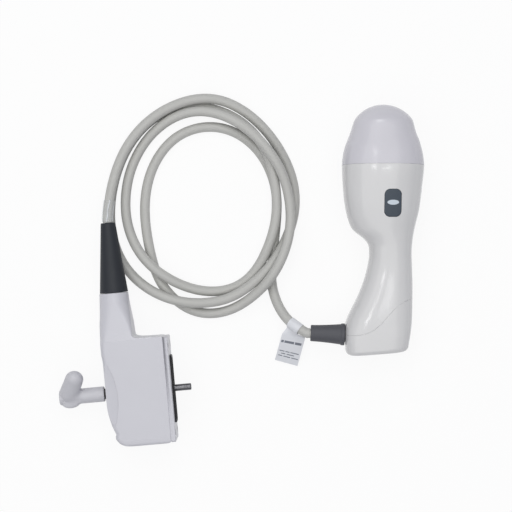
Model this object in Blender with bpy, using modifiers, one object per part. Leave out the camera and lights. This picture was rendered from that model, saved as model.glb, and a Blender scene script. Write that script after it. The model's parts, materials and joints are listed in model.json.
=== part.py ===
# Motorised volume ultrasound probe, with its cable and console connector.
# It lies on its side on a table: +X right, +Y up the table, +Z away from the table, metres.
# The origin is under the middle of the hand probe, on the table.

import math

import bmesh
import bpy
import numpy as np
from mathutils import Matrix, Vector

MM = 0.001

# Fits
TOUCH = 0.3 * MM
RUNNING = 0.3 * MM
PRESS = 0.15 * MM

# Cutters: how far they go past a face, lead into a wall, and reach when they go right through
PAST = 1.0 * MM
LEAD = 5.0 * MM
THROUGH = 40.0 * MM

# Hand probe, seen from above. A station is the distance from the dome's top along the axis,
# the reach left and right of the axis, half the depth, and how square the section is.
DOME_RADIUS = 27.3
DOME_DEPTH_SHARE = 0.93
DOME_BLEND = 4
DOME_STATIONS = (
    (12.0, 22.5, 23.0, 20.8, 2.25),
    (16.0, 23.8, 24.0, 22.0, 2.3),
    (20.0, 25.0, 25.0, 22.9, 2.3),
    (24.0, 26.4, 26.4, 23.9, 2.35),
    (28.0, 28.0, 28.2, 25.0, 2.35),
    (32.0, 29.6, 29.3, 26.0, 2.4),
    (37.0, 30.9, 30.6, 27.0, 2.4),
    (42.0, 31.7, 31.4, 27.6, 2.4),
)
HEAD_STATIONS = (
    (47.0, 32.1, 31.9, 28.0, 2.4),
    (55.0, 31.9, 31.3, 27.9, 2.4),
    (63.0, 31.4, 30.4, 27.3, 2.4),
    (74.0, 30.4, 29.2, 26.0, 2.4),
    (83.0, 28.9, 27.9, 24.5, 2.4),
    (91.5, 26.6, 25.8, 22.7, 2.4),
    (98.7, 22.7, 24.2, 21.0, 2.4),
    (103.6, 16.0, 23.4, 19.8, 2.4),
    (108.3, 11.8, 22.9, 18.9, 2.4),
    (115.0, 10.6, 22.5, 18.2, 2.4),
)
# Below the waist a station is given as its share of the way from the waist to the base's end.
WAIST = 115.0
GRIP_STATIONS = (
    (0.153, 12.0, 22.9, 18.0, 2.5),
    (0.294, 14.9, 23.2, 18.6, 2.6),
    (0.447, 19.6, 23.2, 19.6, 2.8),
    (0.600, 25.4, 23.0, 20.6, 3.0),
    (0.690, 28.5, 22.7, 21.1, 3.2),
    (0.817, 29.4, 21.6, 21.5, 3.8),
    (1.009, 28.6, 19.2, 21.5, 3.8),
)
HEAD_SEAM = 46.9 * MM
BASE_END = 193.3 * MM
BASE_SLANT = 0.079
BASE_SLANT_LENGTH = 33.3 * MM
BASE_FILLET = 4.0 * MM
SEAM_GAP = 0.35 * MM
DOME_WALL = 2.0 * MM
POCKET_WALL = 1.9 * MM
BODY_WALL = 3.1 * MM
RING_POINTS = 24
RING_SPACING = 10.0 * MM
TABLE_CLEARANCE = 0.05 * MM

# The split between the grip and the base is one S-shaped line seen from above.
SPLIT_FROM_END = 28.3 * MM
SPLIT_RISE = 15.0 * MM
SPLIT_CENTRE_X = 3.0 * MM
SPLIT_SPREAD = 13.0 * MM

# Chamber behind the dome
BULKHEAD_PLATE = 4.0 * MM
BULKHEAD_RIM = 5.4 * MM
BULKHEAD_RIM_WALL = 2.7 * MM
SEAL_FROM_SEAM = 3.0 * MM
SEAL_GROOVE_WIDTH = 1.8 * MM
SEAL_GROOVE_DEPTH = 1.3 * MM
SEAL_RADIUS = 0.5 * MM
FILL_PLUG_RADIUS = 2.2 * MM
FILL_PLUG_PLACE = (-20.0 * MM, 8.0 * MM)

# Swinging array
SWING_AXIS = DOME_RADIUS * MM
LENS_CLEARANCE = 2.8 * MM
LENS_THICKNESS = 0.9 * MM
CRYSTAL_THICKNESS = 0.6 * MM
ARRAY_HALF_ANGLE = 38.3
LENS_OVERHANG = 0.6 * MM
ARRAY_HALF_WIDTH = 3.2 * MM
TRAY_BOTTOM = 6.3 * MM
TRAY_THICKNESS = 3.0 * MM
TRAY_CHEEK = 2.2 * MM
TRAY_CHEEK_TOP = 13.0 * MM
TRAY_HALF_WIDTH = 3.6 * MM
LUG_RADIUS = 4.2 * MM
LUG_INNER_X = 9.0 * MM
LUG_THICKNESS = 3.0 * MM
LUG_WEB = 3.0 * MM
AXLE_RADIUS = 2.0 * MM
AXLE_PROUD = 0.5 * MM
ARM_CLEARANCE = 0.9 * MM
ARM_THICKNESS = 3.0 * MM
ARM_HEAD_RADIUS = 6.5 * MM
YOKE_HALF_DEPTH = 8.0 * MM
YOKE_BASE = 2.3 * MM
BEARING_RADIUS = 4.0 * MM

# Drive
GEAR_MODULE = 0.7 * MM
SECTOR_TEETH = 27
PINION_TEETH = 11
GEAR_WIDTH = 2.5 * MM
GEAR_BACKLASH = 0.22 * MM
GEAR_CLEARANCE = 0.25 * MM
GEAR_ADDENDUM = 0.9
GEAR_PRESSURE = 20.0
SECTOR_HALF_ANGLE = 62.0
SECTOR_BACK_HALF_ANGLE = 92.0
GEAR_SIDE_GAP = 0.6 * MM
MOTOR_RADIUS = 6.8 * MM
MOTOR_CLEARANCE = 0.5 * MM
MOTOR_END_GAP = 4.9 * MM
MOTOR_SHAFT_RADIUS = 1.2 * MM
MOTOR_SHAFT_SEAT = 5.0 * MM
MOTOR_SCREW_SPREAD = 4.6 * MM
MOTOR_SCREW_DEPTH = 3.2 * MM
SMALL_SCREW_RADIUS = 0.8 * MM
SMALL_HEAD_RADIUS = 1.4 * MM
SMALL_HEAD_HEIGHT = 1.2 * MM
YOKE_SCREW_INSET = 3.6 * MM
YOKE_SCREW_SIDE = 5.7 * MM
YOKE_SCREW_FROM_BACK = 1.4 * MM

# Wiring inside the grip
FEEDTHROUGH_DEPTH = 14.0 * MM
FEEDTHROUGH_HALF = (8.0 * MM, 2.0 * MM)
FEEDTHROUGH_FLANGE = 1.5 * MM
FEEDTHROUGH_TAIL = 3.0 * MM
FEEDTHROUGH_LIP = 1.5 * MM
FLEX_HALF_WIDTH = 6.0 * MM
FLEX_THICKNESS = 0.4 * MM
FLEX_STRAIGHT = 4.0 * MM
FLEX_SLOPE = (3.0 * MM, 10.0 * MM)
FLEX_KNEE = (8.0 * MM, 6.0 * MM)
BOARD_FROM_BULKHEAD = 3.5 * MM
BOARD_BOTTOM = 118.0 * MM
BOARD_DEPTH = 12.0 * MM
BOARD_THICKNESS = 1.6 * MM
BOARD_CONNECTOR = (9.0 * MM, 9.0 * MM, 4.0 * MM)
BUNDLE_RADIUS = 3.2 * MM
BUNDLE_LEAD = 4.0 * MM

# Button
BUTTON_X = 5.75 * MM
BUTTON_S = 76.2 * MM
BUTTON_HALF = (6.6 * MM, 10.7 * MM)
BUTTON_CORNER = 4.4 * MM
BUTTON_HEIGHT = 3.4 * MM
BUTTON_PROUD = 0.2 * MM
BUTTON_TRAVEL = 0.6 * MM
SWITCH_SIZE = (6.0 * MM, 6.0 * MM, 3.4 * MM)
SWITCH_BOARD = (16.0 * MM, 22.0 * MM, 1.2 * MM)
PILLAR_RADIUS = 1.8 * MM
PILLAR_SPREAD = 8.0 * MM
SMALL_EDGE = 0.4 * MM

# Strain relief on the hand probe
GRIP_RELIEF_FROM_END = 13.5 * MM
GRIP_RELIEF_GAP = 0.3 * MM
GRIP_FLANGE_GAP = 1.0 * MM
GRIP_FLANGE = 2.0 * MM
GRIP_RELIEF_TURN = 2.4
GRIP_RELIEF_LENGTH = 26.6 * MM
GRIP_RELIEF_TIP = 6.4 * MM
GRIP_RELIEF_ROOT = 8.6 * MM
GRIP_RELIEF_NECK = 5.4 * MM
GRIP_RELIEF_FLANGE = 7.2 * MM
GRIP_RELIEF_BAND = 2.4 * MM
GRIP_RELIEF_STEP = 0.3 * MM
GRIP_RELIEF_BOW = 1.6
RELIEF_EDGE = 0.5 * MM

# Cable
CABLE_RADIUS = 3.9 * MM
CABLE_POINTS = 80
CABLE_LEAD = 3.0 * MM

# Place of the connector: the lock shaft's axis meets the mating face there
CONNECTOR_PLACE = (-150.36 * MM, -123.7 * MM)
CONNECTOR_TURN = 5.0
CONNECTOR_HALF_DEPTH = 19.0 * MM

# Connector housing, seen from above. A station is the height along the housing,
# its left and right edge, half the depth, and the corner radius of the section.
HOUSING_STATIONS = (
    (-41.3, -37.3, -9.0, 15.5, 3.0),
    (-40.7, -40.8, -6.2, 17.8, 3.5),
    (-39.0, -44.1, -5.2, 18.7, 4.0),
    (-35.9, -46.7, -5.2, 19.0, 4.0),
    (-32.2, -47.9, -5.2, 19.0, 4.0),
    (-22.0, -50.7, -5.2, 19.0, 4.0),
    (-8.2, -53.0, -5.2, 19.0, 4.0),
    (17.3, -53.1, -5.2, 19.0, 4.0),
    (26.3, -53.3, -5.2, 19.0, 4.0),
    (31.8, -54.0, -5.2, 19.0, 4.2),
    (39.4, -54.1, -5.2, 19.0, 4.6),
    (41.1, -54.0, -6.0, 19.0, 4.8),
    (41.9, -54.0, -8.0, 18.9, 4.9),
    (42.5, -53.9, -22.6, 18.8, 5.0),
    (43.2, -53.9, -25.6, 18.7, 5.2),
    (45.9, -53.9, -28.0, 18.4, 5.8),
    (52.5, -53.9, -28.6, 17.0, 7.5),
    (62.5, -53.3, -29.2, 14.8, 9.5),
    (72.5, -52.9, -29.8, 12.8, 10.6),
    (78.6, -52.6, -30.1, 11.9, 10.8),
)
HOUSING_LEFT = HOUSING_STATIONS[6][1] * MM
HOUSING_WALL = 2.6 * MM
HOUSING_EDGE = 0.8 * MM
HOUSING_LEAST_CORNER = 0.6 * MM
HOUSING_ROOM_FRONT = 6.0 * MM
NECK_START = 41.0 * MM
NECK_LENGTH = 30.0 * MM
NECK_ROOM = (45.0 * MM, 75.0 * MM)
HOUSING_FRONT = -5.2 * MM
FRAME_TOP = 41.2 * MM
FRAME_BOTTOM = -40.2 * MM
FRAME_FACE = -2.6 * MM
FRAME_CORNER = 4.0 * MM
FRAME_INSET = 0.2 * MM
SHROUD_TOP = 26.2 * MM
SHROUD_BOTTOM = -26.5 * MM
SHROUD_HALF_DEPTH = 8.5 * MM
SHROUD_PROUD = 2.2 * MM
SHROUD_WALL = 1.8 * MM
SHROUD_FLANGE = 2.0 * MM
SHROUD_CORNER = 2.5 * MM
CONTACT_RECESS = 1.2 * MM
CONTACT_DEPTH = 12.0 * MM
CONNECTOR_BOARD = 1.6 * MM
CONNECTOR_BOARD_HALF = (30.0 * MM, 14.5 * MM)
CONNECTOR_BOARD_CORNER = 1.5 * MM
FRAME_SCREW_PLACE = (34.0 * MM, 13.6 * MM)
FRAME_SCREW_RADIUS = 1.2 * MM
FRAME_SCREW_HEAD = 2.4 * MM
FRAME_SCREW_LENGTH = 13.0 * MM
FRAME_SCREW_SINK = 1.4 * MM
FRAME_SCREW_DROP = 0.2 * MM
BOSS_RADIUS = 3.4 * MM
BOSS_LENGTH = 16.0 * MM
SCOOP_RADIUS = 106.0 * MM
SCOOP_REACH = -43.6 * MM
SCOOP_DROP = 87.0 * MM
SCOOP_CENTRE = -3.0 * MM

# Lock: the lever outside, its shaft through the connector
SHAFT_RADIUS = 2.65 * MM
SHAFT_TIP = 13.0 * MM
SHAFT_SEAT = 20.0 * MM
SHAFT_EDGE = 0.6 * MM
PIN_RADIUS = 0.9 * MM
PIN_LENGTH = 7.4 * MM
PIN_FROM_TIP = 4.0 * MM
LEVER_STEM_START = -55.4 * MM
LEVER_STEM_RADIUS = 6.0 * MM
LEVER_EDGE = 0.5 * MM
LEVER_END_EDGE = 2.0 * MM
LEVER_END = -91.0 * MM
LEVER_ELBOW = -84.4 * MM
LEVER_ARM = 20.6 * MM
LEVER_LEAN = 22.0
LEVER_TURN = 39.0
LEVER_ROOT_RADIUS = 7.2 * MM
LEVER_TIP_RADIUS = 7.1 * MM
LEVER_TAIL = 6.7 * MM
LEVER_TAIL_LEAN = 24.0
LEVER_TAIL_RADIUS = 5.8 * MM
COLLAR_RADIUS = 4.1 * MM
BUSH_RADIUS = 5.2 * MM
BUSH_LENGTH = 7.0 * MM
RING_RADIUS = 4.4 * MM
RING_THICKNESS = 1.0 * MM

# Strain relief on the connector
PLUG_RELIEF_X = -41.2 * MM
PLUG_RELIEF_START = 78.9 * MM
PLUG_RELIEF_LENGTH = 55.0 * MM
PLUG_RELIEF_ROOT = 11.1 * MM
PLUG_RELIEF_TIP = 5.75 * MM
PLUG_RELIEF_NECK = 6.6 * MM
PLUG_RELIEF_FLANGE = 8.1 * MM
PLUG_FLANGE_GAP = 0.9 * MM
PLUG_FLANGE = 2.5 * MM

# Film sleeve and label on the cable
SLEEVE_LENGTH = 17.0 * MM
SLEEVE_WALL = 0.4 * MM
TAG_THICKNESS = 0.5 * MM
TAG_WRAP = 9.4 * MM
TAG_SHOULDER = 9.5 * MM
TAG_HALF_WIDTH = 10.0 * MM
TAG_LENGTH = 33.0 * MM
TAG_DROP = 26.0
TAG_SKEW = 12.0

# Route of the cable around its loops: angle seen from the loops' centre, distance from it,
# and height of the cable's middle. Where it crosses itself it lies a diameter higher.
LOOP_CENTRE = (-125.6, 26.0)
LOW = 3.95
LOOP_ROUTE = (
    (183.0, 77.3, 16.2), (170.0, 75.4, 13.0), (152.0, 75.3, 12.0), (133.0, 76.4, 12.0),
    (115.0, 77.7, 12.0), (98.0, 79.3, 11.7), (84.0, 79.5, 9.0), (70.0, 76.6, 6.0),
    (55.0, 73.0, LOW), (38.0, 70.3, LOW), (18.0, 70.0, LOW), (0.0, 70.8, LOW),
    (-15.0, 71.0, 5.0), (-30.0, 71.3, 8.9), (-42.0, 73.0, 12.4), (-55.0, 75.6, 11.8),
    (-75.0, 81.4, 10.8), (-90.0, 83.5, 10.4), (-102.0, 84.8, 12.5), (-112.0, 85.6, 12.8),
    (-124.0, 86.1, 8.8), (-138.0, 85.8, 4.6), (-153.0, 83.0, LOW), (-168.0, 79.2, LOW),
    (-185.0, 76.0, LOW), (-205.0, 75.2, LOW), (-225.0, 76.4, LOW), (-243.0, 77.2, LOW),
    (-260.0, 75.4, LOW), (-275.0, 71.6, LOW), (-290.0, 68.2, 4.1), (-305.0, 64.2, 8.2),
    (-320.0, 60.9, 12.3), (-335.0, 57.1, 12.1), (-352.0, 55.6, 12.0), (-370.0, 56.7, 12.0),
    (-386.0, 59.4, 12.4), (-400.0, 62.8, 11.6), (-415.0, 69.6, 6.5), (-430.0, 75.0, 4.2),
    (-446.0, 75.2, LOW), (-462.0, 73.0, 6.4), (-477.0, 70.8, 11.4), (-490.0, 70.0, 12.8),
    (-503.0, 68.8, 11.4), (-518.0, 67.2, 6.6), (-534.0, 65.8, LOW), (-556.0, 65.2, LOW),
    (-576.0, 66.4, LOW), (-592.0, 68.2, 6.2), (-608.0, 69.8, 9.4), (-624.0, 70.1, 12.0),
    (-641.0, 67.3, 12.4), (-656.0, 64.1, 14.6), (-670.0, 62.2, 19.4), (-682.0, 61.4, 20.8),
    (-695.0, 62.6, 19.4), (-711.0, 64.2, 15.0), (-726.0, 66.9, 13.2), (-738.0, 70.1, 14.4),
    (-750.0, 73.6, 17.2), (-762.0, 77.8, 19.8), (-772.0, 81.8, 17.4), (-785.0, 86.4, 11.0),
    (-798.0, 91.4, 5.4), (-812.0, 92.6, LOW), (-825.0, 87.0, LOW), (-840.0, 76.4, LOW),
    (-853.0, 64.8, LOW), (-868.0, 56.4, LOW), (-888.0, 51.0, LOW), (-912.0, 49.2, LOW),
    (-938.0, 51.2, LOW), (-965.0, 55.6, LOW), (-992.0, 58.0, LOW), (-1018.0, 57.7, LOW),
    (-1045.0, 56.0, LOW), (-1072.0, 55.8, LOW), (-1095.0, 57.6, LOW), (-1110.0, 62.1, LOW),
    (-1119.0, 68.2, LOW), (-1131.6, 81.3, LOW),
)
LEAD_IN = (
    (-73.6, -47.4, 4.6), (-70.8, -56.2, 7.4), (-66.2, -65.2, 11.4), (-60.0, -73.3, 16.0),
)

# Place of the hand probe: its axis, and the top of its dome
PROBE_X = 12.7 * MM
PROBE_TOP_Y = 98.05 * MM

BODY_STATIONS = HEAD_STATIONS + tuple(
    (WAIST + share * (BASE_END / MM - WAIST), *values) for share, *values in GRIP_STATIONS
)
BASE_SLANT_START = BASE_END - BASE_SLANT_LENGTH
SPLIT_MIDDLE = BASE_END - SPLIT_FROM_END
GRIP_RELIEF_S = BASE_END - GRIP_RELIEF_FROM_END
BULKHEAD_RIM_TOP = HEAD_SEAM - BULKHEAD_RIM
SEAL_GROOVE_TOP = HEAD_SEAM - SEAL_FROM_SEAM
LENS_RADIUS = DOME_RADIUS * MM - DOME_WALL - LENS_CLEARANCE
ARRAY_STACK_RADIUS = LENS_RADIUS - LENS_THICKNESS - TOUCH
ARRAY_HALF_LENGTH = ARRAY_STACK_RADIUS * math.sin(math.radians(ARRAY_HALF_ANGLE))
ARM_INNER_X = ARRAY_HALF_LENGTH + TOUCH + TRAY_CHEEK + ARM_CLEARANCE
MOTOR_LENGTH = 2 * ARM_INNER_X - TOUCH - MOTOR_END_GAP
YOKE_SCREW_X = ARM_INNER_X - YOKE_SCREW_INSET
YOKE_SCREW_PLACES = ((-YOKE_SCREW_X, -YOKE_SCREW_SIDE), (YOKE_SCREW_X, YOKE_SCREW_SIDE))
ARM_OUTER_X = ARM_INNER_X + ARM_THICKNESS
GEAR_INNER_X = ARM_OUTER_X + GEAR_SIDE_GAP
GEAR_DISTANCE = GEAR_MODULE * (SECTOR_TEETH + PINION_TEETH) / 2
MOTOR_S = SWING_AXIS + GEAR_DISTANCE
BULKHEAD_FLOOR = MOTOR_S + MOTOR_RADIUS + MOTOR_CLEARANCE + YOKE_BASE + TOUCH
BULKHEAD_BACK = BULKHEAD_FLOOR + BULKHEAD_PLATE
BOARD_TOP = BULKHEAD_BACK + BOARD_FROM_BULKHEAD
YOKE_FOOT = BULKHEAD_FLOOR - TOUCH
AXLE_BORE = AXLE_RADIUS + RUNNING
BACKING_RADIUS = ARRAY_STACK_RADIUS - CRYSTAL_THICKNESS - TOUCH
BACKING_FOOT = TRAY_BOTTOM + TRAY_THICKNESS + TOUCH


# Scene helpers


def clear_scene():
    for obj in list(bpy.data.objects):
        bpy.data.objects.remove(obj, do_unlink=True)


def new_collection(name):
    collection = bpy.data.collections.new(name)
    bpy.context.scene.collection.children.link(collection)
    return collection


def material(name, colour, roughness, metallic=0.0):
    made = bpy.data.materials.new(name)
    made.use_nodes = True
    shader = made.node_tree.nodes["Principled BSDF"]
    shader.inputs["Base Color"].default_value = (*colour, 1.0)
    shader.inputs["Roughness"].default_value = roughness
    shader.inputs["Metallic"].default_value = metallic
    made.diffuse_color = (*colour, 1.0)
    return made


def empty(name, location=(0, 0, 0), rotation=(0, 0, 0), parent=None):
    made = bpy.data.objects.new(name, None)
    made.location = location
    made.rotation_euler = rotation
    made.parent = parent
    PARTS.objects.link(made)
    return made


def place(obj, name, parent=None, finish=None, cutter=False):
    obj.name = name
    obj.data.name = name
    obj.parent = parent
    for collection in list(obj.users_collection):
        collection.objects.unlink(obj)
    if cutter:
        CUTTERS.objects.link(obj)
        obj.hide_render = True
        obj.display_type = "WIRE"
    else:
        PARTS.objects.link(obj)
        obj.data.materials.clear()
        obj.data.materials.append(finish)
    return obj


def from_bmesh(bm, smooth_angle=35.0):
    bmesh.ops.recalc_face_normals(bm, faces=bm.faces)
    mesh = bpy.data.meshes.new("mesh")
    bm.to_mesh(mesh)
    bm.free()
    mesh.shade_smooth()
    mesh.set_sharp_from_angle(angle=math.radians(smooth_angle))
    return bpy.data.objects.new("object", mesh)


def loft(rings):
    """Closed solid through rings of equally many points, with a flat face on the first and last."""
    bm = bmesh.new()
    rows = [[bm.verts.new(point) for point in ring] for ring in rings]
    count = len(rows[0])
    for low, high in zip(rows, rows[1:]):
        for i in range(count):
            j = (i + 1) % count
            bm.faces.new((low[i], low[j], high[j], high[i]))
    bm.faces.new(rows[0])
    bm.faces.new(rows[-1])
    return from_bmesh(bm)


def cylinder(radius, start, end, sides=24, centre=(0, 0), axis="X", top_radius=None):
    """Cylinder along X, Y or Z from start to end; centre holds its other two coordinates."""
    bm = bmesh.new()
    bmesh.ops.create_cone(
        bm, cap_ends=True, segments=sides, radius1=radius,
        radius2=radius if top_radius is None else top_radius, depth=end - start,
    )
    middle = (start + end) / 2
    if axis == "X":
        turn = Matrix.Rotation(math.radians(90), 4, "Y")
        shift = Vector((middle, centre[0], centre[1]))
    elif axis == "Y":
        turn = Matrix.Rotation(math.radians(-90), 4, "X")
        shift = Vector((centre[0], middle, centre[1]))
    else:
        turn = Matrix.Identity(4)
        shift = Vector((centre[0], centre[1], middle))
    bmesh.ops.transform(bm, matrix=Matrix.Translation(shift) @ turn, verts=bm.verts)
    return from_bmesh(bm)


def box(low, high):
    bm = bmesh.new()
    bmesh.ops.create_cube(bm, size=1.0)
    size = Vector(high) - Vector(low)
    centre = (Vector(high) + Vector(low)) / 2
    bmesh.ops.scale(bm, vec=size, verts=bm.verts)
    bmesh.ops.translate(bm, vec=centre, verts=bm.verts)
    return from_bmesh(bm)


def to_mesh(curve_object):
    """The curve's evaluated shape as a mesh object, with its loose caps welded on."""
    bpy.context.view_layer.update()
    graph = bpy.context.evaluated_depsgraph_get()
    mesh = bpy.data.meshes.new_from_object(curve_object.evaluated_get(graph))
    bm = bmesh.new()
    bm.from_mesh(mesh)
    bmesh.ops.remove_doubles(bm, verts=bm.verts, dist=0.000002)
    bm.to_mesh(mesh)
    bm.free()
    made = bpy.data.objects.new("object", mesh)
    made.matrix_world = curve_object.matrix_world.copy()
    bpy.data.objects.remove(curve_object, do_unlink=True)
    return made


def plate(outlines, low, high, plane="XY"):
    """Flat outline, with holes if more than one is given, as thick as from low to high.

    The outline lies in XY, in XZ or in YZ, and the thickness runs along the third axis."""
    curve = bpy.data.curves.new("outline", "CURVE")
    curve.dimensions = "2D"
    curve.fill_mode = "BOTH"
    curve.extrude = (high - low) / 2
    for outline in outlines:
        spline = curve.splines.new("POLY")
        spline.points.add(len(outline) - 1)
        for point, (u, v) in zip(spline.points, outline):
            point.co = (u, v, 0, 1)
        spline.use_cyclic_u = True
    drawn = bpy.data.objects.new("outline", curve)
    bpy.context.scene.collection.objects.link(drawn)
    made = to_mesh(drawn)
    turns = {
        "XY": Matrix.Identity(4),
        "XZ": Matrix(((1, 0, 0, 0), (0, 0, -1, 0), (0, 1, 0, 0), (0, 0, 0, 1))),
        "YZ": Matrix(((0, 0, 1, 0), (1, 0, 0, 0), (0, 1, 0, 0), (0, 0, 0, 1))),
    }
    middle = (low + high) / 2
    shift = Vector((0, 0, middle))
    made.data.transform(turns[plane] @ Matrix.Translation(shift if plane != "XZ" else -shift))
    return made


def turned(profile, sides=28):
    """Solid of revolution about Z from (radius, height) pairs, from the top down."""
    bm = bmesh.new()
    verts = [bm.verts.new((radius, 0, height)) for radius, height in profile]
    for a, b in zip(verts, verts[1:]):
        bm.edges.new((a, b))
    mesh = bpy.data.meshes.new("profile")
    bm.to_mesh(mesh)
    bm.free()
    made = bpy.data.objects.new("turned", mesh)
    screw = made.modifiers.new("turn", "SCREW")
    screw.steps = sides
    screw.render_steps = sides
    screw.use_merge_vertices = True
    screw.merge_threshold = 0.00001
    screw.use_smooth_shade = True
    return made


def tube(points, radius, resolution=3):
    """Round cord through the given points, with filled ends."""
    curve = bpy.data.curves.new("route", "CURVE")
    curve.dimensions = "3D"
    curve.bevel_depth = radius
    curve.bevel_resolution = resolution
    curve.use_fill_caps = True
    spline = curve.splines.new("POLY")
    spline.points.add(len(points) - 1)
    for point, (x, y, z) in zip(spline.points, points):
        point.co = (x, y, z, 1)
    drawn = bpy.data.objects.new("route", curve)
    bpy.context.scene.collection.objects.link(drawn)
    return to_mesh(drawn)


def boolean(obj, cutter, operation="DIFFERENCE"):
    modifier = obj.modifiers.new(cutter.name, "BOOLEAN")
    modifier.operation = operation
    modifier.solver = "EXACT"
    modifier.object = cutter


def bevel(obj, width, segments=2, angle=40.0):
    modifier = obj.modifiers.new("round", "BEVEL")
    modifier.width = width
    modifier.segments = segments
    modifier.limit_method = "ANGLE"
    modifier.angle_limit = math.radians(angle)


def smooth_path(points, count):
    """Evenly spaced points on a smooth curve through the given ones."""
    route = np.array(points, dtype=float)
    ends = (2 * route[0] - route[1], 2 * route[-1] - route[-2])
    padded = np.vstack((ends[0], route, ends[1]))
    fine = []
    for i in range(1, len(padded) - 2):
        p0, p1, p2, p3 = padded[i - 1:i + 3]
        for t in np.linspace(0, 1, 12, endpoint=False):
            fine.append(0.5 * (
                2 * p1 + (p2 - p0) * t + (2 * p0 - 5 * p1 + 4 * p2 - p3) * t ** 2
                + (3 * p1 - p0 - 3 * p2 + p3) * t ** 3
            ))
    fine.append(route[-1])
    fine = np.array(fine)
    steps = np.linalg.norm(np.diff(fine, axis=0), axis=1)
    along = np.concatenate(([0], np.cumsum(steps)))
    wanted = np.linspace(0, along[-1], count)
    return [tuple(np.interp(wanted, along, fine[:, k])[i] for k in range(3)) for i in range(count)]


# Outline of the hand probe


def smooth_stations(stations, at):
    """Station values at any distance, on a smooth curve through the stations."""
    table = np.array(stations, dtype=float)
    keys = table[:, 0]
    i = int(np.clip(np.searchsorted(keys, at) - 1, 0, len(keys) - 2))
    slopes = np.gradient(table[:, 1:], keys, axis=0)
    span = keys[i + 1] - keys[i]
    t = min(max((at - keys[i]) / span, 0.0), 1.0)
    a, b = table[i, 1:], table[i + 1, 1:]
    return (
        a * (2 * t ** 3 - 3 * t ** 2 + 1) + slopes[i] * span * (t ** 3 - 2 * t ** 2 + t)
        + b * (3 * t ** 2 - 2 * t ** 3) + slopes[i + 1] * span * (t ** 3 - t ** 2)
    )


def probe_values(s):
    """Left and right reach, half depth and squareness at s, in metres along the axis."""
    at = s / MM
    stations = DOME_STATIONS + BODY_STATIONS
    first = stations[0]
    if at < first[0]:
        cap = math.sqrt(max(DOME_RADIUS ** 2 - (DOME_RADIUS - at) ** 2, 0.0))
        edge = math.sqrt(DOME_RADIUS ** 2 - (DOME_RADIUS - first[0]) ** 2)
        blend = (cap / edge) ** DOME_BLEND
        left = cap + blend * (first[1] - edge)
        right = cap + blend * (first[2] - edge)
        deep = cap * DOME_DEPTH_SHARE + blend * (first[3] - edge * DOME_DEPTH_SHARE)
        return left, right, deep, first[4]
    return smooth_stations(stations, at)


def probe_ring(s, inset=0.0, end_inset=0.0, slanted=True):
    """Ring of the hand probe's outline at s, moved inwards by inset. X, -s and depth."""
    left, right, deep, square = probe_values(s)
    left, right, deep = (max(v * MM - inset, 0.00002) for v in (left, right, deep))
    slant = 0.0
    if slanted and s > BASE_SLANT_START:
        share = min((s - BASE_SLANT_START) / (BASE_END - BASE_FILLET - BASE_SLANT_START), 1.0)
        slant = BASE_SLANT * share * share * (3 - 2 * share)
    centre = (right - left) / 2
    half = (right + left) / 2
    ring = []
    for k in range(RING_POINTS):
        angle = 2 * math.pi * k / RING_POINTS
        cos, sin = math.cos(angle), math.sin(angle)
        x = centre + half * math.copysign(abs(cos) ** (2 / square), cos)
        z = deep * math.copysign(abs(sin) ** (2 / square), sin)
        ring.append((x, -(s + end_inset - slant * x), z))
    return ring


def dome_inner_ring(s):
    """Inside of the dome: the outline moved inwards square to the surface."""
    back = probe_values(s - MM / 2)
    ahead = probe_values(s + MM / 2)
    slope = ((ahead[0] - back[0]) + (ahead[1] - back[1])) / 2
    length = math.hypot(1.0, slope)
    inset = DOME_WALL / length
    return probe_ring(s, inset, DOME_WALL * slope / length)


def lying_pose():
    """Turn about X that lets head and base touch the table together, and the axis height."""
    stations = np.array([
        (s, probe_values(s * MM)[2])
        for s in np.arange(DOME_RADIUS, (BASE_END - BASE_FILLET) / MM, 0.5)
    ]) * MM
    head = stations[stations[:, 0] < WAIST * MM]
    foot = stations[stations[:, 0] > WAIST * MM]

    def lowest(part, turn):
        return np.min(-part[:, 1] * math.cos(turn) - part[:, 0] * math.sin(turn))

    low, high = 0.0, math.radians(8)
    for _ in range(50):
        turn = (low + high) / 2
        if lowest(head, turn) < lowest(foot, turn):
            low = turn
        else:
            high = turn
    return turn, TABLE_CLEARANCE - lowest(head, turn)


# Shapes shared by the shells


def probe_solid(start, inset=0.0, end=None):
    """Solid inside the probe's outline from start down to the rounded base, or to a flat end."""
    stop = (BASE_END - BASE_FILLET) if end is None else end
    shared = np.arange(0.0, BASE_END, RING_SPACING)
    between = [s for s in shared if start + RING_SPACING / 5 < s < stop - RING_SPACING / 5]
    rings = [probe_ring(s, inset) for s in [start, *between, stop]]
    if end is None:
        for k in range(1, 4):
            angle = math.radians(30 * k)
            rings.append(probe_ring(
                stop, inset + BASE_FILLET * (1 - math.cos(angle)),
                BASE_FILLET * math.sin(angle) - inset,
            ))
    return loft(rings)


def split_line(offset):
    """Points (x, -s) of the S-shaped split, from left to right."""
    points = []
    for x in np.linspace(-1.25, 1.25, 41) * THROUGH:
        s = SPLIT_MIDDLE - SPLIT_RISE * math.tanh((x - SPLIT_CENTRE_X) / SPLIT_SPREAD)
        points.append((x, -(s + offset)))
    return points


def split_cutter(name, keep_head):
    """Block that takes away everything on one side of the split."""
    if keep_head:
        line = split_line(-SEAM_GAP / 2)
        far = -(BASE_END + THROUGH)
    else:
        line = split_line(SEAM_GAP / 2)
        far = 0.0
    outline = line + [(line[-1][0], far), (line[0][0], far)]
    return place(plate([outline], -THROUGH, THROUGH), name, PROBE, cutter=True)


def rounded_rectangle(half_u, half_v, corner, centre=(0, 0), steps=4):
    points = []
    for quarter in range(4):
        for k in range(steps + 1):
            angle = math.radians(90 * (quarter + k / steps))
            cu = (half_u - corner) * (1 if quarter in (0, 3) else -1)
            cv = (half_v - corner) * (1 if quarter in (0, 1) else -1)
            points.append((
                centre[0] + cu + corner * math.cos(angle),
                centre[1] + cv + corner * math.sin(angle),
            ))
    return points


# Hand probe: outer pieces


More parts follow.
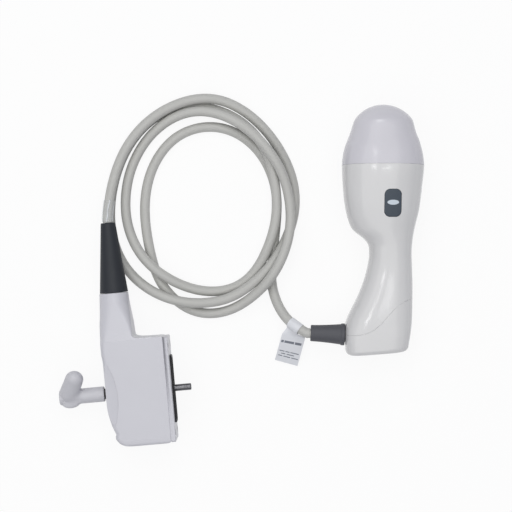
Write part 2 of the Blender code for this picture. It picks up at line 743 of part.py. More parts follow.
def make_dome_cap():
    edge = HEAD_SEAM - SEAM_GAP / 2
    outer = (0.001, 0.015, 0.055, 0.12, 0.2, 0.3, 0.42, 0.55, 0.7, 0.85, 1.0)
    inner = (0.75, 0.52, 0.34, 0.19, 0.09, 0.025, 0.001)
    rings = [probe_ring(share * edge) for share in outer]
    rings.append(probe_ring(edge, DOME_WALL))
    rings += [dome_inner_ring(share * edge) for share in inner]
    place(loft(rings), "dome_cap", PROBE, DOME_PLASTIC)


def make_body_shell():
    shell = place(probe_solid(HEAD_SEAM + SEAM_GAP / 2), "body_shell", PROBE, BODY_PLASTIC)
    pocket = probe_solid(HEAD_SEAM - LEAD, POCKET_WALL, BULKHEAD_BACK + TOUCH)
    boolean(shell, place(pocket, "cut_pocket", PROBE, cutter=True))
    boolean(shell, CAVITY)
    boolean(shell, split_cutter("cut_base_side", True))
    boolean(shell, BUTTON_HOLE)
    boolean(shell, RELIEF_HOLE)


def make_base_shell():
    shell = place(probe_solid(SPLIT_MIDDLE - 2.5 * SPLIT_RISE), "base_shell", PROBE, BODY_PLASTIC)
    boolean(shell, CAVITY)
    boolean(shell, split_cutter("cut_grip_side", False))
    boolean(shell, RELIEF_HOLE)


def button_outline(grow=0.0):
    return rounded_rectangle(
        BUTTON_HALF[0] + grow, BUTTON_HALF[1] + grow, BUTTON_CORNER + grow, (BUTTON_X, -BUTTON_S),
    )


def surface_depth(s, x):
    """Depth of the outer surface above the axis at a place on the camera side."""
    left, right, deep, square = probe_values(s)
    centre = (right - left) / 2 * MM
    half = (right + left) / 2 * MM
    share = abs((x - centre) / half)
    return deep * MM * (1 - share ** square) ** (1 / square)


def make_button():
    cap = plate([button_outline()], BUTTON_BASE, BUTTON_TOP + LEAD)
    place(cap, "button_cap", PROBE, BUTTON_RUBBER)
    face = probe_solid(BUTTON_S - THROUGH / 2, -BUTTON_PROUD, BUTTON_S + THROUGH / 2)
    boolean(cap, place(face, "cut_button_face", PROBE, cutter=True), "INTERSECT")


def make_button_electronics():
    top = BUTTON_BASE - BUTTON_TRAVEL - PRESS
    half = [v / 2 for v in SWITCH_SIZE]
    switch = box(
        (BUTTON_X - half[0], -BUTTON_S - half[1], top - SWITCH_SIZE[2]),
        (BUTTON_X + half[0], -BUTTON_S + half[1], top),
    )
    place(switch, "button_switch", PROBE, SWITCH_BLACK)
    bevel(switch, SMALL_EDGE, 1)
    board_top = top - SWITCH_SIZE[2] - TOUCH
    board_low = board_top - SWITCH_BOARD[2]
    board = box(
        (BUTTON_X - SWITCH_BOARD[0] / 2, -BUTTON_S - SWITCH_BOARD[1] / 2, board_low),
        (BUTTON_X + SWITCH_BOARD[0] / 2, -BUTTON_S + SWITCH_BOARD[1] / 2, board_top),
    )
    place(board, "switch_board", PROBE, BOARD_GREEN)
    for number, side in enumerate((1, -1), 1):
        centre = (BUTTON_X, -BUTTON_S + side * PILLAR_SPREAD)
        low = BOARD_DEPTH + BOARD_THICKNESS / 2 + TOUCH
        pillar = cylinder(PILLAR_RADIUS, low, board_low - TOUCH, 6, centre, "Z")
        place(pillar, f"board_pillar_{number}", PROBE, BRASS)


def make_signal_board():
    low = BOARD_DEPTH - BOARD_THICKNESS / 2
    board = box((-THROUGH, -BOARD_BOTTOM, low), (THROUGH, -BOARD_TOP, low + BOARD_THICKNESS))
    place(board, "signal_board", PROBE, BOARD_GREEN)
    room = probe_solid(BOARD_TOP - LEAD, BODY_WALL + TOUCH, BOARD_BOTTOM + LEAD)
    boolean(board, place(room, "cut_board_edge", PROBE, cutter=True), "INTERSECT")
    width, length, height = BOARD_CONNECTOR
    top = low - TOUCH
    block = box(
        (BUTTON_X - width / 2, -BOARD_BOTTOM, top - height),
        (BUTTON_X + width / 2, -BOARD_BOTTOM + length, top),
    )
    place(block, "board_connector", PROBE, SWITCH_BLACK)
    bevel(block, SMALL_EDGE, 1)


def make_inner_cable():
    into_probe = PROBE.matrix_world.inverted() @ GRIP_RELIEF.matrix_world
    start = into_probe @ Vector((0, 0, -GRIP_RELIEF_INSIDE - TOUCH))
    ahead = into_probe @ Vector((0, 0, -GRIP_RELIEF_INSIDE - BUNDLE_LEAD))
    end = Vector((
        BUTTON_X, -BOARD_BOTTOM - TOUCH, BOARD_DEPTH - BOARD_THICKNESS / 2 - TOUCH - BUNDLE_RADIUS,
    ))
    before_end = end - Vector((0, BUNDLE_LEAD, 0))
    route = [start, ahead]
    for across, along in ((0.45, 0.12), (0.85, 0.32), (1.0, 0.62)):
        route.append(Vector((
            ahead.x + across * (end.x - ahead.x), ahead.y + along * (before_end.y - ahead.y),
            ahead.z + along * (end.z - ahead.z),
        )))
    route += [before_end, end]
    path = smooth_path([tuple(point) for point in route], 18)
    place(tube(path, BUNDLE_RADIUS, 2), "inner_cable", PROBE, CABLE_GREY)


# Hand probe: chamber and swinging array


def make_bulkhead():
    inset = DOME_WALL + TOUCH
    groove = inset + SEAL_GROOVE_DEPTH
    groove_low = SEAL_GROOVE_TOP + SEAL_GROOVE_WIDTH
    rim = inset + BULKHEAD_RIM_WALL
    profile = [
        (BULKHEAD_BACK, inset), (groove_low, inset), (groove_low, groove),
        (SEAL_GROOVE_TOP, groove), (SEAL_GROOVE_TOP, inset), (BULKHEAD_RIM_TOP, inset),
        (BULKHEAD_RIM_TOP, rim), (BULKHEAD_FLOOR, rim),
    ]
    bulkhead = loft([probe_ring(s, depth) for s, depth in profile])
    place(bulkhead, "chamber_bulkhead", PROBE, METAL)
    half_x, half_z = FEEDTHROUGH_HALF[0] + TOUCH, FEEDTHROUGH_HALF[1] + TOUCH
    window = box(
        (-half_x, -BULKHEAD_BACK - PAST, FEEDTHROUGH_DEPTH - half_z),
        (half_x, -BULKHEAD_FLOOR + PAST, FEEDTHROUGH_DEPTH + half_z),
    )
    boolean(bulkhead, place(window, "cut_feedthrough", PROBE, cutter=True))
    hole = cylinder(
        FILL_PLUG_RADIUS + TOUCH, -BULKHEAD_BACK - PAST, -BULKHEAD_FLOOR + PAST, 16, FILL_PLUG_PLACE, "Y",
    )
    boolean(bulkhead, place(hole, "cut_fill_hole", PROBE, cutter=True))
    for number, spot in enumerate(YOKE_SCREW_PLACES, 1):
        tapped = cylinder(
            SMALL_SCREW_RADIUS + TOUCH, -BULKHEAD_BACK + PAST, -BULKHEAD_FLOOR + PAST, 10, spot, "Y",
        )
        boolean(bulkhead, place(tapped, f"cut_yoke_thread_{number}", PROBE, cutter=True))


def make_chamber_small_parts():
    s = SEAL_GROOVE_TOP + SEAL_GROOVE_WIDTH / 2
    inset = DOME_WALL + (TOUCH + SEAL_GROOVE_DEPTH) / 2
    curve = bpy.data.curves.new("seal", "CURVE")
    curve.dimensions = "3D"
    curve.bevel_depth = SEAL_RADIUS
    curve.bevel_resolution = 1
    spline = curve.splines.new("POLY")
    ring = probe_ring(s, inset)
    spline.points.add(len(ring) - 1)
    for point, (x, y, z) in zip(spline.points, ring):
        point.co = (x, y, z, 1)
    spline.use_cyclic_u = True
    drawn = bpy.data.objects.new("seal", curve)
    bpy.context.scene.collection.objects.link(drawn)
    place(to_mesh(drawn), "chamber_seal", PROBE, SEAL_RUBBER)
    plug = cylinder(
        FILL_PLUG_RADIUS, -BULKHEAD_BACK, -BULKHEAD_FLOOR, 16, FILL_PLUG_PLACE, "Y",
    )
    place(plug, "fill_plug", PROBE, METAL)
    half_x, half_z = FEEDTHROUGH_HALF
    lip_x, lip_z = half_x + FEEDTHROUGH_LIP, half_z + FEEDTHROUGH_LIP
    flange_top = -BULKHEAD_FLOOR + TOUCH + FEEDTHROUGH_FLANGE
    body = box(
        (-half_x, -BULKHEAD_BACK - FEEDTHROUGH_TAIL, FEEDTHROUGH_DEPTH - half_z),
        (half_x, flange_top, FEEDTHROUGH_DEPTH + half_z),
    )
    place(body, "feedthrough_block", PROBE, SWITCH_BLACK)
    flange = box(
        (-lip_x, -BULKHEAD_FLOOR + TOUCH, FEEDTHROUGH_DEPTH - lip_z),
        (lip_x, flange_top, FEEDTHROUGH_DEPTH + lip_z),
    )
    boolean(body, place(flange, "add_feedthrough_flange", PROBE, cutter=True), "UNION")


def make_flex():
    """Ribbon from the feedthrough up to the axle, which it wraps so that it hardly bends."""
    top = BULKHEAD_FLOOR - TOUCH - FEEDTHROUGH_FLANGE - TOUCH
    wrap = AXLE_RADIUS + TOUCH + FLEX_THICKNESS
    route = [
        (FEEDTHROUGH_DEPTH, top), (FEEDTHROUGH_DEPTH, top - FLEX_STRAIGHT),
        (FEEDTHROUGH_DEPTH - FLEX_SLOPE[0], top - FLEX_SLOPE[1]),
        (FLEX_KNEE[0], SWING_AXIS + FLEX_KNEE[1]),
    ]
    for degrees in (70, 45, 20, 0):
        angle = math.radians(degrees)
        route.append((wrap * math.cos(angle), SWING_AXIS + wrap * math.sin(angle)))
    bm = bmesh.new()
    rows = [
        [bm.verts.new((x, -s, z)) for x in (-FLEX_HALF_WIDTH, FLEX_HALF_WIDTH)] for z, s in route
    ]
    for low, high in zip(rows, rows[1:]):
        bm.faces.new((low[0], low[1], high[1], high[0]))
    ribbon = place(from_bmesh(bm), "array_flex", PROBE, FLEX_FILM)
    thick = ribbon.modifiers.new("thickness", "SOLIDIFY")
    thick.thickness = FLEX_THICKNESS
    thick.offset = 0.0


def arm_outline():
    """Side view of a yoke arm: a round head on the axle, widening to the foot."""
    points = []
    for k in range(13):
        angle = math.radians(180 * k / 12)
        points.append((
            -SWING_AXIS + ARM_HEAD_RADIUS * math.sin(angle), ARM_HEAD_RADIUS * math.cos(angle),
        ))
    points.append((-YOKE_FOOT, -YOKE_HALF_DEPTH))
    points.append((-YOKE_FOOT, YOKE_HALF_DEPTH))
    return points


def make_yoke():
    foot = box(
        (-ARM_OUTER_X, -YOKE_FOOT, -YOKE_HALF_DEPTH),
        (ARM_OUTER_X, -YOKE_FOOT + YOKE_BASE, YOKE_HALF_DEPTH),
    )
    yoke = place(foot, "array_yoke", PROBE, METAL)
    for number, side in enumerate((-1, 1), 1):
        low, high = sorted((side * ARM_INNER_X, side * ARM_OUTER_X))
        arm = plate([arm_outline()], low, high, "YZ")
        boolean(yoke, place(arm, f"add_yoke_arm_{number}", PROBE, cutter=True), "UNION")
    reach = ARM_OUTER_X + PAST
    bore = cylinder(BEARING_RADIUS + TOUCH, -reach, reach, 20, (-SWING_AXIS, 0))
    boolean(yoke, place(bore, "cut_yoke_bore", PROBE, cutter=True))
    shaft = cylinder(MOTOR_SHAFT_RADIUS + RUNNING, ARM_INNER_X - PAST, reach, 12, (-MOTOR_S, 0))
    boolean(yoke, place(shaft, "cut_yoke_shaft", PROBE, cutter=True))
    head = ARM_OUTER_X - SMALL_HEAD_HEIGHT - TOUCH
    for number, z in enumerate((-MOTOR_SCREW_SPREAD, MOTOR_SCREW_SPREAD), 1):
        shank = cylinder(SMALL_SCREW_RADIUS + TOUCH, ARM_INNER_X - PAST, reach, 8, (-MOTOR_S, z))
        boolean(yoke, place(shank, f"cut_motor_screw_{number}", PROBE, cutter=True))
        sink = cylinder(SMALL_HEAD_RADIUS + TOUCH, head - TOUCH, reach, 12, (-MOTOR_S, z))
        boolean(yoke, place(sink, f"cut_motor_screw_head_{number}", PROBE, cutter=True))
    for number, spot in enumerate(YOKE_SCREW_PLACES, 1):
        shank = cylinder(SMALL_SCREW_RADIUS + TOUCH, -YOKE_FOOT - PAST, -YOKE_FOOT + LEAD, 10, spot, "Y")
        boolean(yoke, place(shank, f"cut_yoke_screw_{number}", PROBE, cutter=True))


def make_bearings():
    for name, side in (("left", -1), ("right", 1)):
        low, high = sorted((side * ARM_INNER_X, side * ARM_OUTER_X))
        ring = turned([
            (BEARING_RADIUS, high), (BEARING_RADIUS, low), (AXLE_BORE, low), (AXLE_BORE, high),
            (BEARING_RADIUS, high),
        ], 20)
        ring.rotation_euler = (0, math.radians(90), 0)
        ring.location = (0, -SWING_AXIS, 0)
        place(ring, f"axle_bearing_{name}", PROBE, STEEL)


def make_axle():
    reach = GEAR_INNER_X + GEAR_WIDTH + AXLE_PROUD
    place(cylinder(AXLE_RADIUS, -ARM_OUTER_X - AXLE_PROUD, reach, 20), "swing_axle", SWING, STEEL)


def arc(radius, half_angle, steps):
    return [
        (radius * math.sin(a), radius * math.cos(a))
        for a in np.linspace(-half_angle, half_angle, steps)
    ]


def make_array():
    lens_angle = math.asin((ARRAY_HALF_LENGTH + LENS_OVERHANG) / LENS_RADIUS)
    lens_inner = LENS_RADIUS - LENS_THICKNESS
    outline = arc(LENS_RADIUS, lens_angle, 15) + arc(lens_inner, lens_angle, 15)[::-1]
    lens = plate([outline], -TRAY_HALF_WIDTH, TRAY_HALF_WIDTH)
    place(lens, "acoustic_lens", SWING, LENS_RUBBER)
    angle = math.asin(ARRAY_HALF_LENGTH / ARRAY_STACK_RADIUS)
    inner = ARRAY_STACK_RADIUS - CRYSTAL_THICKNESS
    outline = arc(ARRAY_STACK_RADIUS, angle, 15) + arc(inner, angle, 15)[::-1]
    crystal = plate([outline], -ARRAY_HALF_WIDTH, ARRAY_HALF_WIDTH)
    place(crystal, "crystal_strip", SWING, CRYSTAL)
    angle = math.asin(ARRAY_HALF_LENGTH / BACKING_RADIUS)
    outline = arc(BACKING_RADIUS, angle, 15)
    outline += [(ARRAY_HALF_LENGTH, BACKING_FOOT), (-ARRAY_HALF_LENGTH, BACKING_FOOT)]
    backing = plate([outline], -ARRAY_HALF_WIDTH, ARRAY_HALF_WIDTH)
    place(backing, "array_backing", SWING, BACKING_BLACK)


def make_carrier():
    cheek_inner = ARRAY_HALF_LENGTH + TOUCH
    cheek_outer = cheek_inner + TRAY_CHEEK
    floor = TRAY_BOTTOM + TRAY_THICKNESS
    outline = [
        (-cheek_outer, TRAY_BOTTOM), (cheek_outer, TRAY_BOTTOM), (cheek_outer, TRAY_CHEEK_TOP),
        (cheek_inner, TRAY_CHEEK_TOP), (cheek_inner, floor), (-cheek_inner, floor),
        (-cheek_inner, TRAY_CHEEK_TOP), (-cheek_outer, TRAY_CHEEK_TOP),
    ]
    carrier = plate([outline], -TRAY_HALF_WIDTH, TRAY_HALF_WIDTH)
    place(carrier, "array_carrier", SWING, METAL)
    for number, side in enumerate((-1, 1), 1):
        low, high = sorted((side * LUG_INNER_X, side * (LUG_INNER_X + LUG_THICKNESS)))
        lug = cylinder(LUG_RADIUS, low, high, 20)
        boolean(carrier, place(lug, f"add_lug_{number}", SWING, cutter=True), "UNION")
        web = box((low, 0, -LUG_WEB), (high, TRAY_BOTTOM + PAST, LUG_WEB))
        boolean(carrier, place(web, f"add_web_{number}", SWING, cutter=True), "UNION")
    bore = cylinder(AXLE_BORE, -THROUGH / 2, THROUGH / 2, 20)
    boolean(carrier, place(bore, "cut_carrier_bore", SWING, cutter=True))


def gear_outline(teeth, first, last, phase):
    """Teeth first to last of a spur gear, counted round from the phase angle in radians."""
    pitch = GEAR_MODULE * teeth / 2
    tip = pitch + GEAR_ADDENDUM * GEAR_MODULE
    root = pitch - GEAR_MODULE - GEAR_CLEARANCE
    half_pitch = (math.pi * GEAR_MODULE / 2 - GEAR_BACKLASH) / 2
    flank = math.tan(math.radians(GEAR_PRESSURE))
    points = []
    for n in range(first, last + 1):
        middle = phase + 2 * math.pi * n / teeth
        for radius, side in ((root, -1), (tip, -1), (tip, 1), (root, 1)):
            half = half_pitch - (radius - pitch) * flank
            angle = middle + side * half / radius
            points.append((radius * math.cos(angle), radius * math.sin(angle)))
    return points


def make_gears():
    span = int(SECTOR_HALF_ANGLE / (360 / SECTOR_TEETH))
    toothed = gear_outline(SECTOR_TEETH, -span, span, math.radians(180))
    hub = LUG_RADIUS
    back = [
        (hub * math.cos(a), hub * math.sin(a))
        for a in np.radians(np.linspace(-SECTOR_BACK_HALF_ANGLE, SECTOR_BACK_HALF_ANGLE, 9))
    ]
    bore = rounded_rectangle(AXLE_BORE, AXLE_BORE, AXLE_BORE)
    sector = plate([toothed + back, bore], GEAR_INNER_X, GEAR_INNER_X + GEAR_WIDTH, "YZ")
    place(sector, "swing_gear", SWING, BRASS)
    half_step = math.pi / PINION_TEETH
    toothed = gear_outline(PINION_TEETH, 0, PINION_TEETH - 1, half_step)
    hole = rounded_rectangle(*[MOTOR_SHAFT_RADIUS + TOUCH] * 3)
    pinion = plate([toothed, hole], GEAR_INNER_X, GEAR_INNER_X + GEAR_WIDTH, "YZ")
    place(pinion, "drive_pinion", MOTOR_AXIS, BRASS)


def make_motor():
    face = ARM_INNER_X - TOUCH
    motor = cylinder(MOTOR_RADIUS, face - MOTOR_LENGTH, face, 28)
    place(motor, "drive_motor", MOTOR_AXIS, STEEL)
    bore = cylinder(MOTOR_SHAFT_RADIUS + RUNNING, face - MOTOR_SHAFT_SEAT, face + PAST, 14)
    boolean(motor, place(bore, "cut_motor_bore", MOTOR_AXIS, cutter=True))
    reach = GEAR_INNER_X + GEAR_WIDTH + AXLE_PROUD
    shaft = cylinder(MOTOR_SHAFT_RADIUS, face - MOTOR_SHAFT_SEAT + TOUCH, reach, 14)
    place(shaft, "motor_shaft", MOTOR_AXIS, STEEL)
    head = ARM_OUTER_X - SMALL_HEAD_HEIGHT
    for number, z in enumerate((-MOTOR_SCREW_SPREAD, MOTOR_SCREW_SPREAD), 1):
        low = face - MOTOR_SCREW_DEPTH
        tapped = cylinder(SMALL_SCREW_RADIUS + TOUCH, low - TOUCH, face + PAST, 10, (0, z))
        boolean(motor, place(tapped, f"cut_motor_thread_{number}", MOTOR_AXIS, cutter=True))
        profile = [
            (0, head + SMALL_HEAD_HEIGHT), (SMALL_HEAD_RADIUS, head + SMALL_HEAD_HEIGHT),
            (SMALL_HEAD_RADIUS, head), (SMALL_SCREW_RADIUS, head),
            (SMALL_SCREW_RADIUS, low), (0, low),
        ]
        screw = turned(profile, 12)
        screw.rotation_euler = (0, math.radians(90), 0)
        screw.location = (0, 0, z)
        place(screw, f"motor_screw_{number}", MOTOR_AXIS, STEEL)


def make_yoke_screws():
    head = -YOKE_FOOT + YOKE_BASE + TOUCH
    low = -BULKHEAD_BACK + YOKE_SCREW_FROM_BACK
    for number, (x, z) in enumerate(YOKE_SCREW_PLACES, 1):
        profile = [
            (0, head + SMALL_HEAD_HEIGHT), (SMALL_HEAD_RADIUS, head + SMALL_HEAD_HEIGHT),
            (SMALL_HEAD_RADIUS, head), (SMALL_SCREW_RADIUS, head),
            (SMALL_SCREW_RADIUS, low), (0, low),
        ]
        screw = turned(profile, 12)
        screw.rotation_euler = (math.radians(-90), 0, 0)
        screw.location = (x, 0, z)
        place(screw, f"yoke_screw_{number}", PROBE, STEEL)


# Strain reliefs: turned about their own Z, which runs out along the cable


def make_grip_relief():
    length = GRIP_RELIEF_LENGTH
    inside = GRIP_RELIEF_INSIDE - GRIP_FLANGE
    profile = [
        (0, length), (GRIP_RELIEF_TIP - RELIEF_EDGE, length), (GRIP_RELIEF_TIP, length - RELIEF_EDGE),
    ]
    flare = GRIP_RELIEF_ROOT - GRIP_RELIEF_STEP - GRIP_RELIEF_TIP
    for share in (0.8, 0.6, 0.4, 0.2):
        profile.append((GRIP_RELIEF_TIP + flare * (1 - share) ** GRIP_RELIEF_BOW, length * share))
    profile += [
        (GRIP_RELIEF_ROOT, GRIP_RELIEF_BAND), (GRIP_RELIEF_ROOT, 0), (GRIP_RELIEF_NECK, 0),
        (GRIP_RELIEF_NECK, -inside), (GRIP_RELIEF_FLANGE, -inside),
        (GRIP_RELIEF_FLANGE, -GRIP_RELIEF_INSIDE), (0, -GRIP_RELIEF_INSIDE),
    ]
    relief = turned(profile, 20)
    place(relief, "probe_relief", GRIP_RELIEF, RELIEF_GREY)


def make_plug_relief():
    length = PLUG_RELIEF_LENGTH
    inside = PLUG_RELIEF_INSIDE - PLUG_FLANGE
    profile = [
        (0, length), (PLUG_RELIEF_TIP - RELIEF_EDGE, length), (PLUG_RELIEF_TIP, length - RELIEF_EDGE),
    ]
    flare = PLUG_RELIEF_ROOT - PLUG_RELIEF_TIP
    for share in (0.75, 0.5, 0.25):
        profile.append((PLUG_RELIEF_TIP + flare * (1 - share), length * share))
    profile += [
        (PLUG_RELIEF_ROOT, RELIEF_EDGE), (PLUG_RELIEF_ROOT - RELIEF_EDGE, 0), (PLUG_RELIEF_NECK, 0),
        (PLUG_RELIEF_NECK, -inside), (PLUG_RELIEF_FLANGE, -inside),
        (PLUG_RELIEF_FLANGE, -PLUG_RELIEF_INSIDE), (0, -PLUG_RELIEF_INSIDE),
    ]
    place(turned(profile, 24), "connector_relief", PLUG_RELIEF, RELIEF_DARK)


# Connector


def housing_ring(station, inset=0.0, front=None):
    """Ring of the housing at one station: a rectangle with round corners at the left side."""
    y, left, right, deep, corner = (v * MM for v in station)
    left += inset
    right = front if front is not None else right - inset
    deep -= inset
    corner = max(corner - inset, HOUSING_LEAST_CORNER)
    neck = max(0.0, min(1.0, (y - NECK_START) / NECK_LENGTH))
    near = HOUSING_EDGE + (corner - HOUSING_EDGE) * neck
    ring = []
    for cx, cz, radius, start in (
        (right, deep, near, 0), (left, deep, corner, 90),
        (left, -deep, corner, 180), (right, -deep, near, 270),
    ):
        radius = min(radius, deep * 0.98, (right - left) * 0.49)
        side_x = -1 if cx == right else 1
        side_z = -1 if cz > 0 else 1
        for k in range(5):
            angle = math.radians(start + 22.5 * k)
            ring.append((
                cx + side_x * radius + radius * math.cos(angle), y,
                cz + side_z * radius + radius * math.sin(angle),
            ))
    return ring


def housing_cavity():
    """Inside of the housing: the box open at the front, narrowing into the neck."""
    rings = []
    for station in HOUSING_STATIONS:
        y = station[0] * MM
        if y < HOUSING_STATIONS[2][0] * MM + HOUSING_WALL:
            continue
        if y < FRAME_TOP - HOUSING_WALL:
            rings.append(housing_ring(station, HOUSING_WALL, HOUSING_ROOM_FRONT))
        elif NECK_ROOM[0] < y < NECK_ROOM[1]:
            rings.append(housing_ring(station, HOUSING_WALL))
    return rings


def make_housing():
    housing = place(
        loft([housing_ring(station) for station in HOUSING_STATIONS]),
        "connector_housing", PLUG, HOUSING_PLASTIC,
    )
    rings = housing_cavity()
    low_ring = [(x, -HOUSING_FLOOR, z) for x, _, z in rings[0]]
    box_rings = [low_ring] + [r for r in rings if r[0][1] < FRAME_TOP - HOUSING_WALL]
    last = box_rings[-1]
    box_rings.append([(x, FRAME_TOP - HOUSING_WALL, z) for x, _, z in last])
    room = place(loft(box_rings), "cut_box_room", PLUG, cutter=True)
    for number, side in enumerate((-1, 1), 1):
        scoop = place(scoop_ball(side, 0.0), f"cut_scoop_{number}", PLUG, cutter=True)
        boolean(housing, scoop)
        kept = place(scoop_ball(side, HOUSING_WALL), f"keep_scoop_wall_{number}", PLUG, cutter=True)
        boolean(room, kept)
    boolean(housing, room)
    neck_rings = [r for r in rings if r[0][1] > NECK_ROOM[0]]
    first = neck_rings[0]
    neck_rings.insert(0, [(x, FRAME_TOP - HOUSING_WALL - LEAD / 2, z) for x, _, z in first])
    top = HOUSING_STATIONS[-1][0] * MM - HOUSING_WALL
    neck_rings.append(housing_ring((top / MM,) + HOUSING_STATIONS[-1][1:], HOUSING_WALL))
    boolean(housing, place(loft(neck_rings), "cut_neck_room", PLUG, cutter=True))
    for number, (y, z) in enumerate(frame_screw_places(), 1):
        boss = cylinder(BOSS_RADIUS, HOUSING_FRONT - BOSS_LENGTH, HOUSING_FRONT, 12, (y, z))
        boolean(housing, place(boss, f"add_boss_{number}", PLUG, cutter=True), "UNION")
        thread = cylinder(
            FRAME_SCREW_RADIUS + TOUCH, FRAME_FACE - FRAME_SCREW_LENGTH - PAST, HOUSING_FRONT + PAST,
            8, (y, z),
        )
        boolean(housing, place(thread, f"cut_boss_{number}", PLUG, cutter=True))
    bush = cylinder(BUSH_RADIUS + TOUCH, HOUSING_LEFT - LEAD, HOUSING_LEFT + LEAD, 20)
    boolean(housing, place(bush, "cut_bush_hole", PLUG, cutter=True))
    gland = cylinder(PLUG_RELIEF_NECK + TOUCH, top - PAST, top + LEAD, 28, (PLUG_RELIEF_X, 0), "Y")
    boolean(housing, place(gland, "cut_relief_hole", PLUG, cutter=True))


def scoop_ball(side, grow):
    """Large ball that hollows the housing's edge beside the lever."""
    bm = bmesh.new()
    bmesh.ops.create_uvsphere(bm, u_segments=32, v_segments=20, radius=SCOOP_RADIUS + grow)
    flat = math.sqrt(SCOOP_RADIUS ** 2 - SCOOP_DROP ** 2)
    centre = (
        SCOOP_REACH - flat, SCOOP_CENTRE, side * (CONNECTOR_HALF_DEPTH + SCOOP_DROP),
    )
    bmesh.ops.translate(bm, vec=centre, verts=bm.verts)
    return from_bmesh(bm)


def frame_screw_places():
    y, z = FRAME_SCREW_PLACE
    middle = (FRAME_TOP + FRAME_BOTTOM) / 2
    return [(middle + sy * y, sz * z) for sy in (-1, 1) for sz in (-1, 1)]


def shroud_outline(grow=0.0):
    half = (SHROUD_TOP - SHROUD_BOTTOM) / 2 + grow
    middle = (SHROUD_TOP + SHROUD_BOTTOM) / 2
    corner = max(SHROUD_CORNER + grow, SHROUD_WALL / 2)
    return rounded_rectangle(half, SHROUD_HALF_DEPTH + grow, corner, (middle, 0), 4)


def make_front_frame():
    half = (FRAME_TOP - FRAME_BOTTOM) / 2
    middle = (FRAME_TOP + FRAME_BOTTOM) / 2
    depth = CONNECTOR_HALF_DEPTH - FRAME_INSET
    outline = rounded_rectangle(half, depth, FRAME_CORNER, (middle, 0))
    frame = plate(
        [outline, shroud_outline(TOUCH)], HOUSING_FRONT + TOUCH, FRAME_FACE, "YZ",
    )
    place(frame, "front_frame", PLUG, HOUSING_PLASTIC)
    for number, (y, z) in enumerate(frame_screw_places(), 1):
        hole = cylinder(FRAME_SCREW_RADIUS + TOUCH, HOUSING_FRONT - PAST, FRAME_FACE + PAST, 8, (y, z))
        boolean(frame, place(hole, f"cut_frame_{number}", PLUG, cutter=True))
        seat = FRAME_FACE - FRAME_SCREW_SINK
        sink = cylinder(FRAME_SCREW_HEAD + TOUCH, seat, FRAME_FACE + PAST, 14, (y, z))
        boolean(frame, place(sink, f"cut_frame_head_{number}", PLUG, cutter=True))
        profile = [
            (0, FRAME_FACE - FRAME_SCREW_DROP), (FRAME_SCREW_HEAD, FRAME_FACE - FRAME_SCREW_DROP),
            (FRAME_SCREW_HEAD, seat + TOUCH), (FRAME_SCREW_RADIUS, seat + TOUCH),
            (FRAME_SCREW_RADIUS, FRAME_FACE - FRAME_SCREW_LENGTH),
            (0, FRAME_FACE - FRAME_SCREW_LENGTH),
        ]
        screw = turned(profile, 12)
        screw.rotation_euler = (0, math.radians(90), 0)
        screw.location = (0, y, z)
        place(screw, f"frame_screw_{number}", PLUG, STEEL)


def make_contacts():
    back = HOUSING_FRONT - TOUCH
    shroud = plate(
        [shroud_outline(), shroud_outline(-SHROUD_WALL)], back, FRAME_FACE + SHROUD_PROUD, "YZ",
    )
    place(shroud, "contact_shroud", PLUG, SWITCH_BLACK)
    flange = plate(
        [shroud_outline(SHROUD_FLANGE), shroud_outline(-SHROUD_WALL)],
        back - SHROUD_FLANGE, back, "YZ",
    )
    boolean(shroud, place(flange, "add_shroud_flange", PLUG, cutter=True), "UNION")
    face = FRAME_FACE - CONTACT_RECESS
    hole = [tuple(p) for p in rounded_rectangle(*[SHAFT_RADIUS + RUNNING] * 3, (0, 0), 6)]
    block = plate(
        [shroud_outline(-SHROUD_WALL - TOUCH), hole], face - CONTACT_DEPTH, face, "YZ",
    )
    place(block, "contact_block", PLUG, CONTACT_GREY)
    back_face = face - CONTACT_DEPTH - TOUCH
    middle = (SHROUD_TOP + SHROUD_BOTTOM) / 2
    board = plate(
        [rounded_rectangle(*CONNECTOR_BOARD_HALF, CONNECTOR_BOARD_CORNER, (middle, 0), 2), hole],
        back_face - CONNECTOR_BOARD, back_face, "YZ",
    )
    place(board, "connector_board", PLUG, BOARD_GREEN)


def make_connector_bundle():
    """Cores of the cable inside the connector, from the relief to the board."""
    face = FRAME_FACE - CONTACT_RECESS - CONTACT_DEPTH - 2 * TOUCH - CONNECTOR_BOARD
    top = PLUG_RELIEF_START - PLUG_RELIEF_INSIDE - TOUCH
    route = [
        (PLUG_RELIEF_X, top, 0), (PLUG_RELIEF_X, top - 8 * MM, 0),
        (PLUG_RELIEF_X + 3 * MM, top - 22 * MM, 2 * MM), (face - 12 * MM, 24 * MM, 5 * MM),
        (face - 5 * MM, 17 * MM, 6 * MM), (face - TOUCH, 17 * MM, 6 * MM),
    ]
    place(tube(smooth_path(route, 14), BUNDLE_RADIUS, 2), "connector_cable", PLUG, CABLE_GREY)


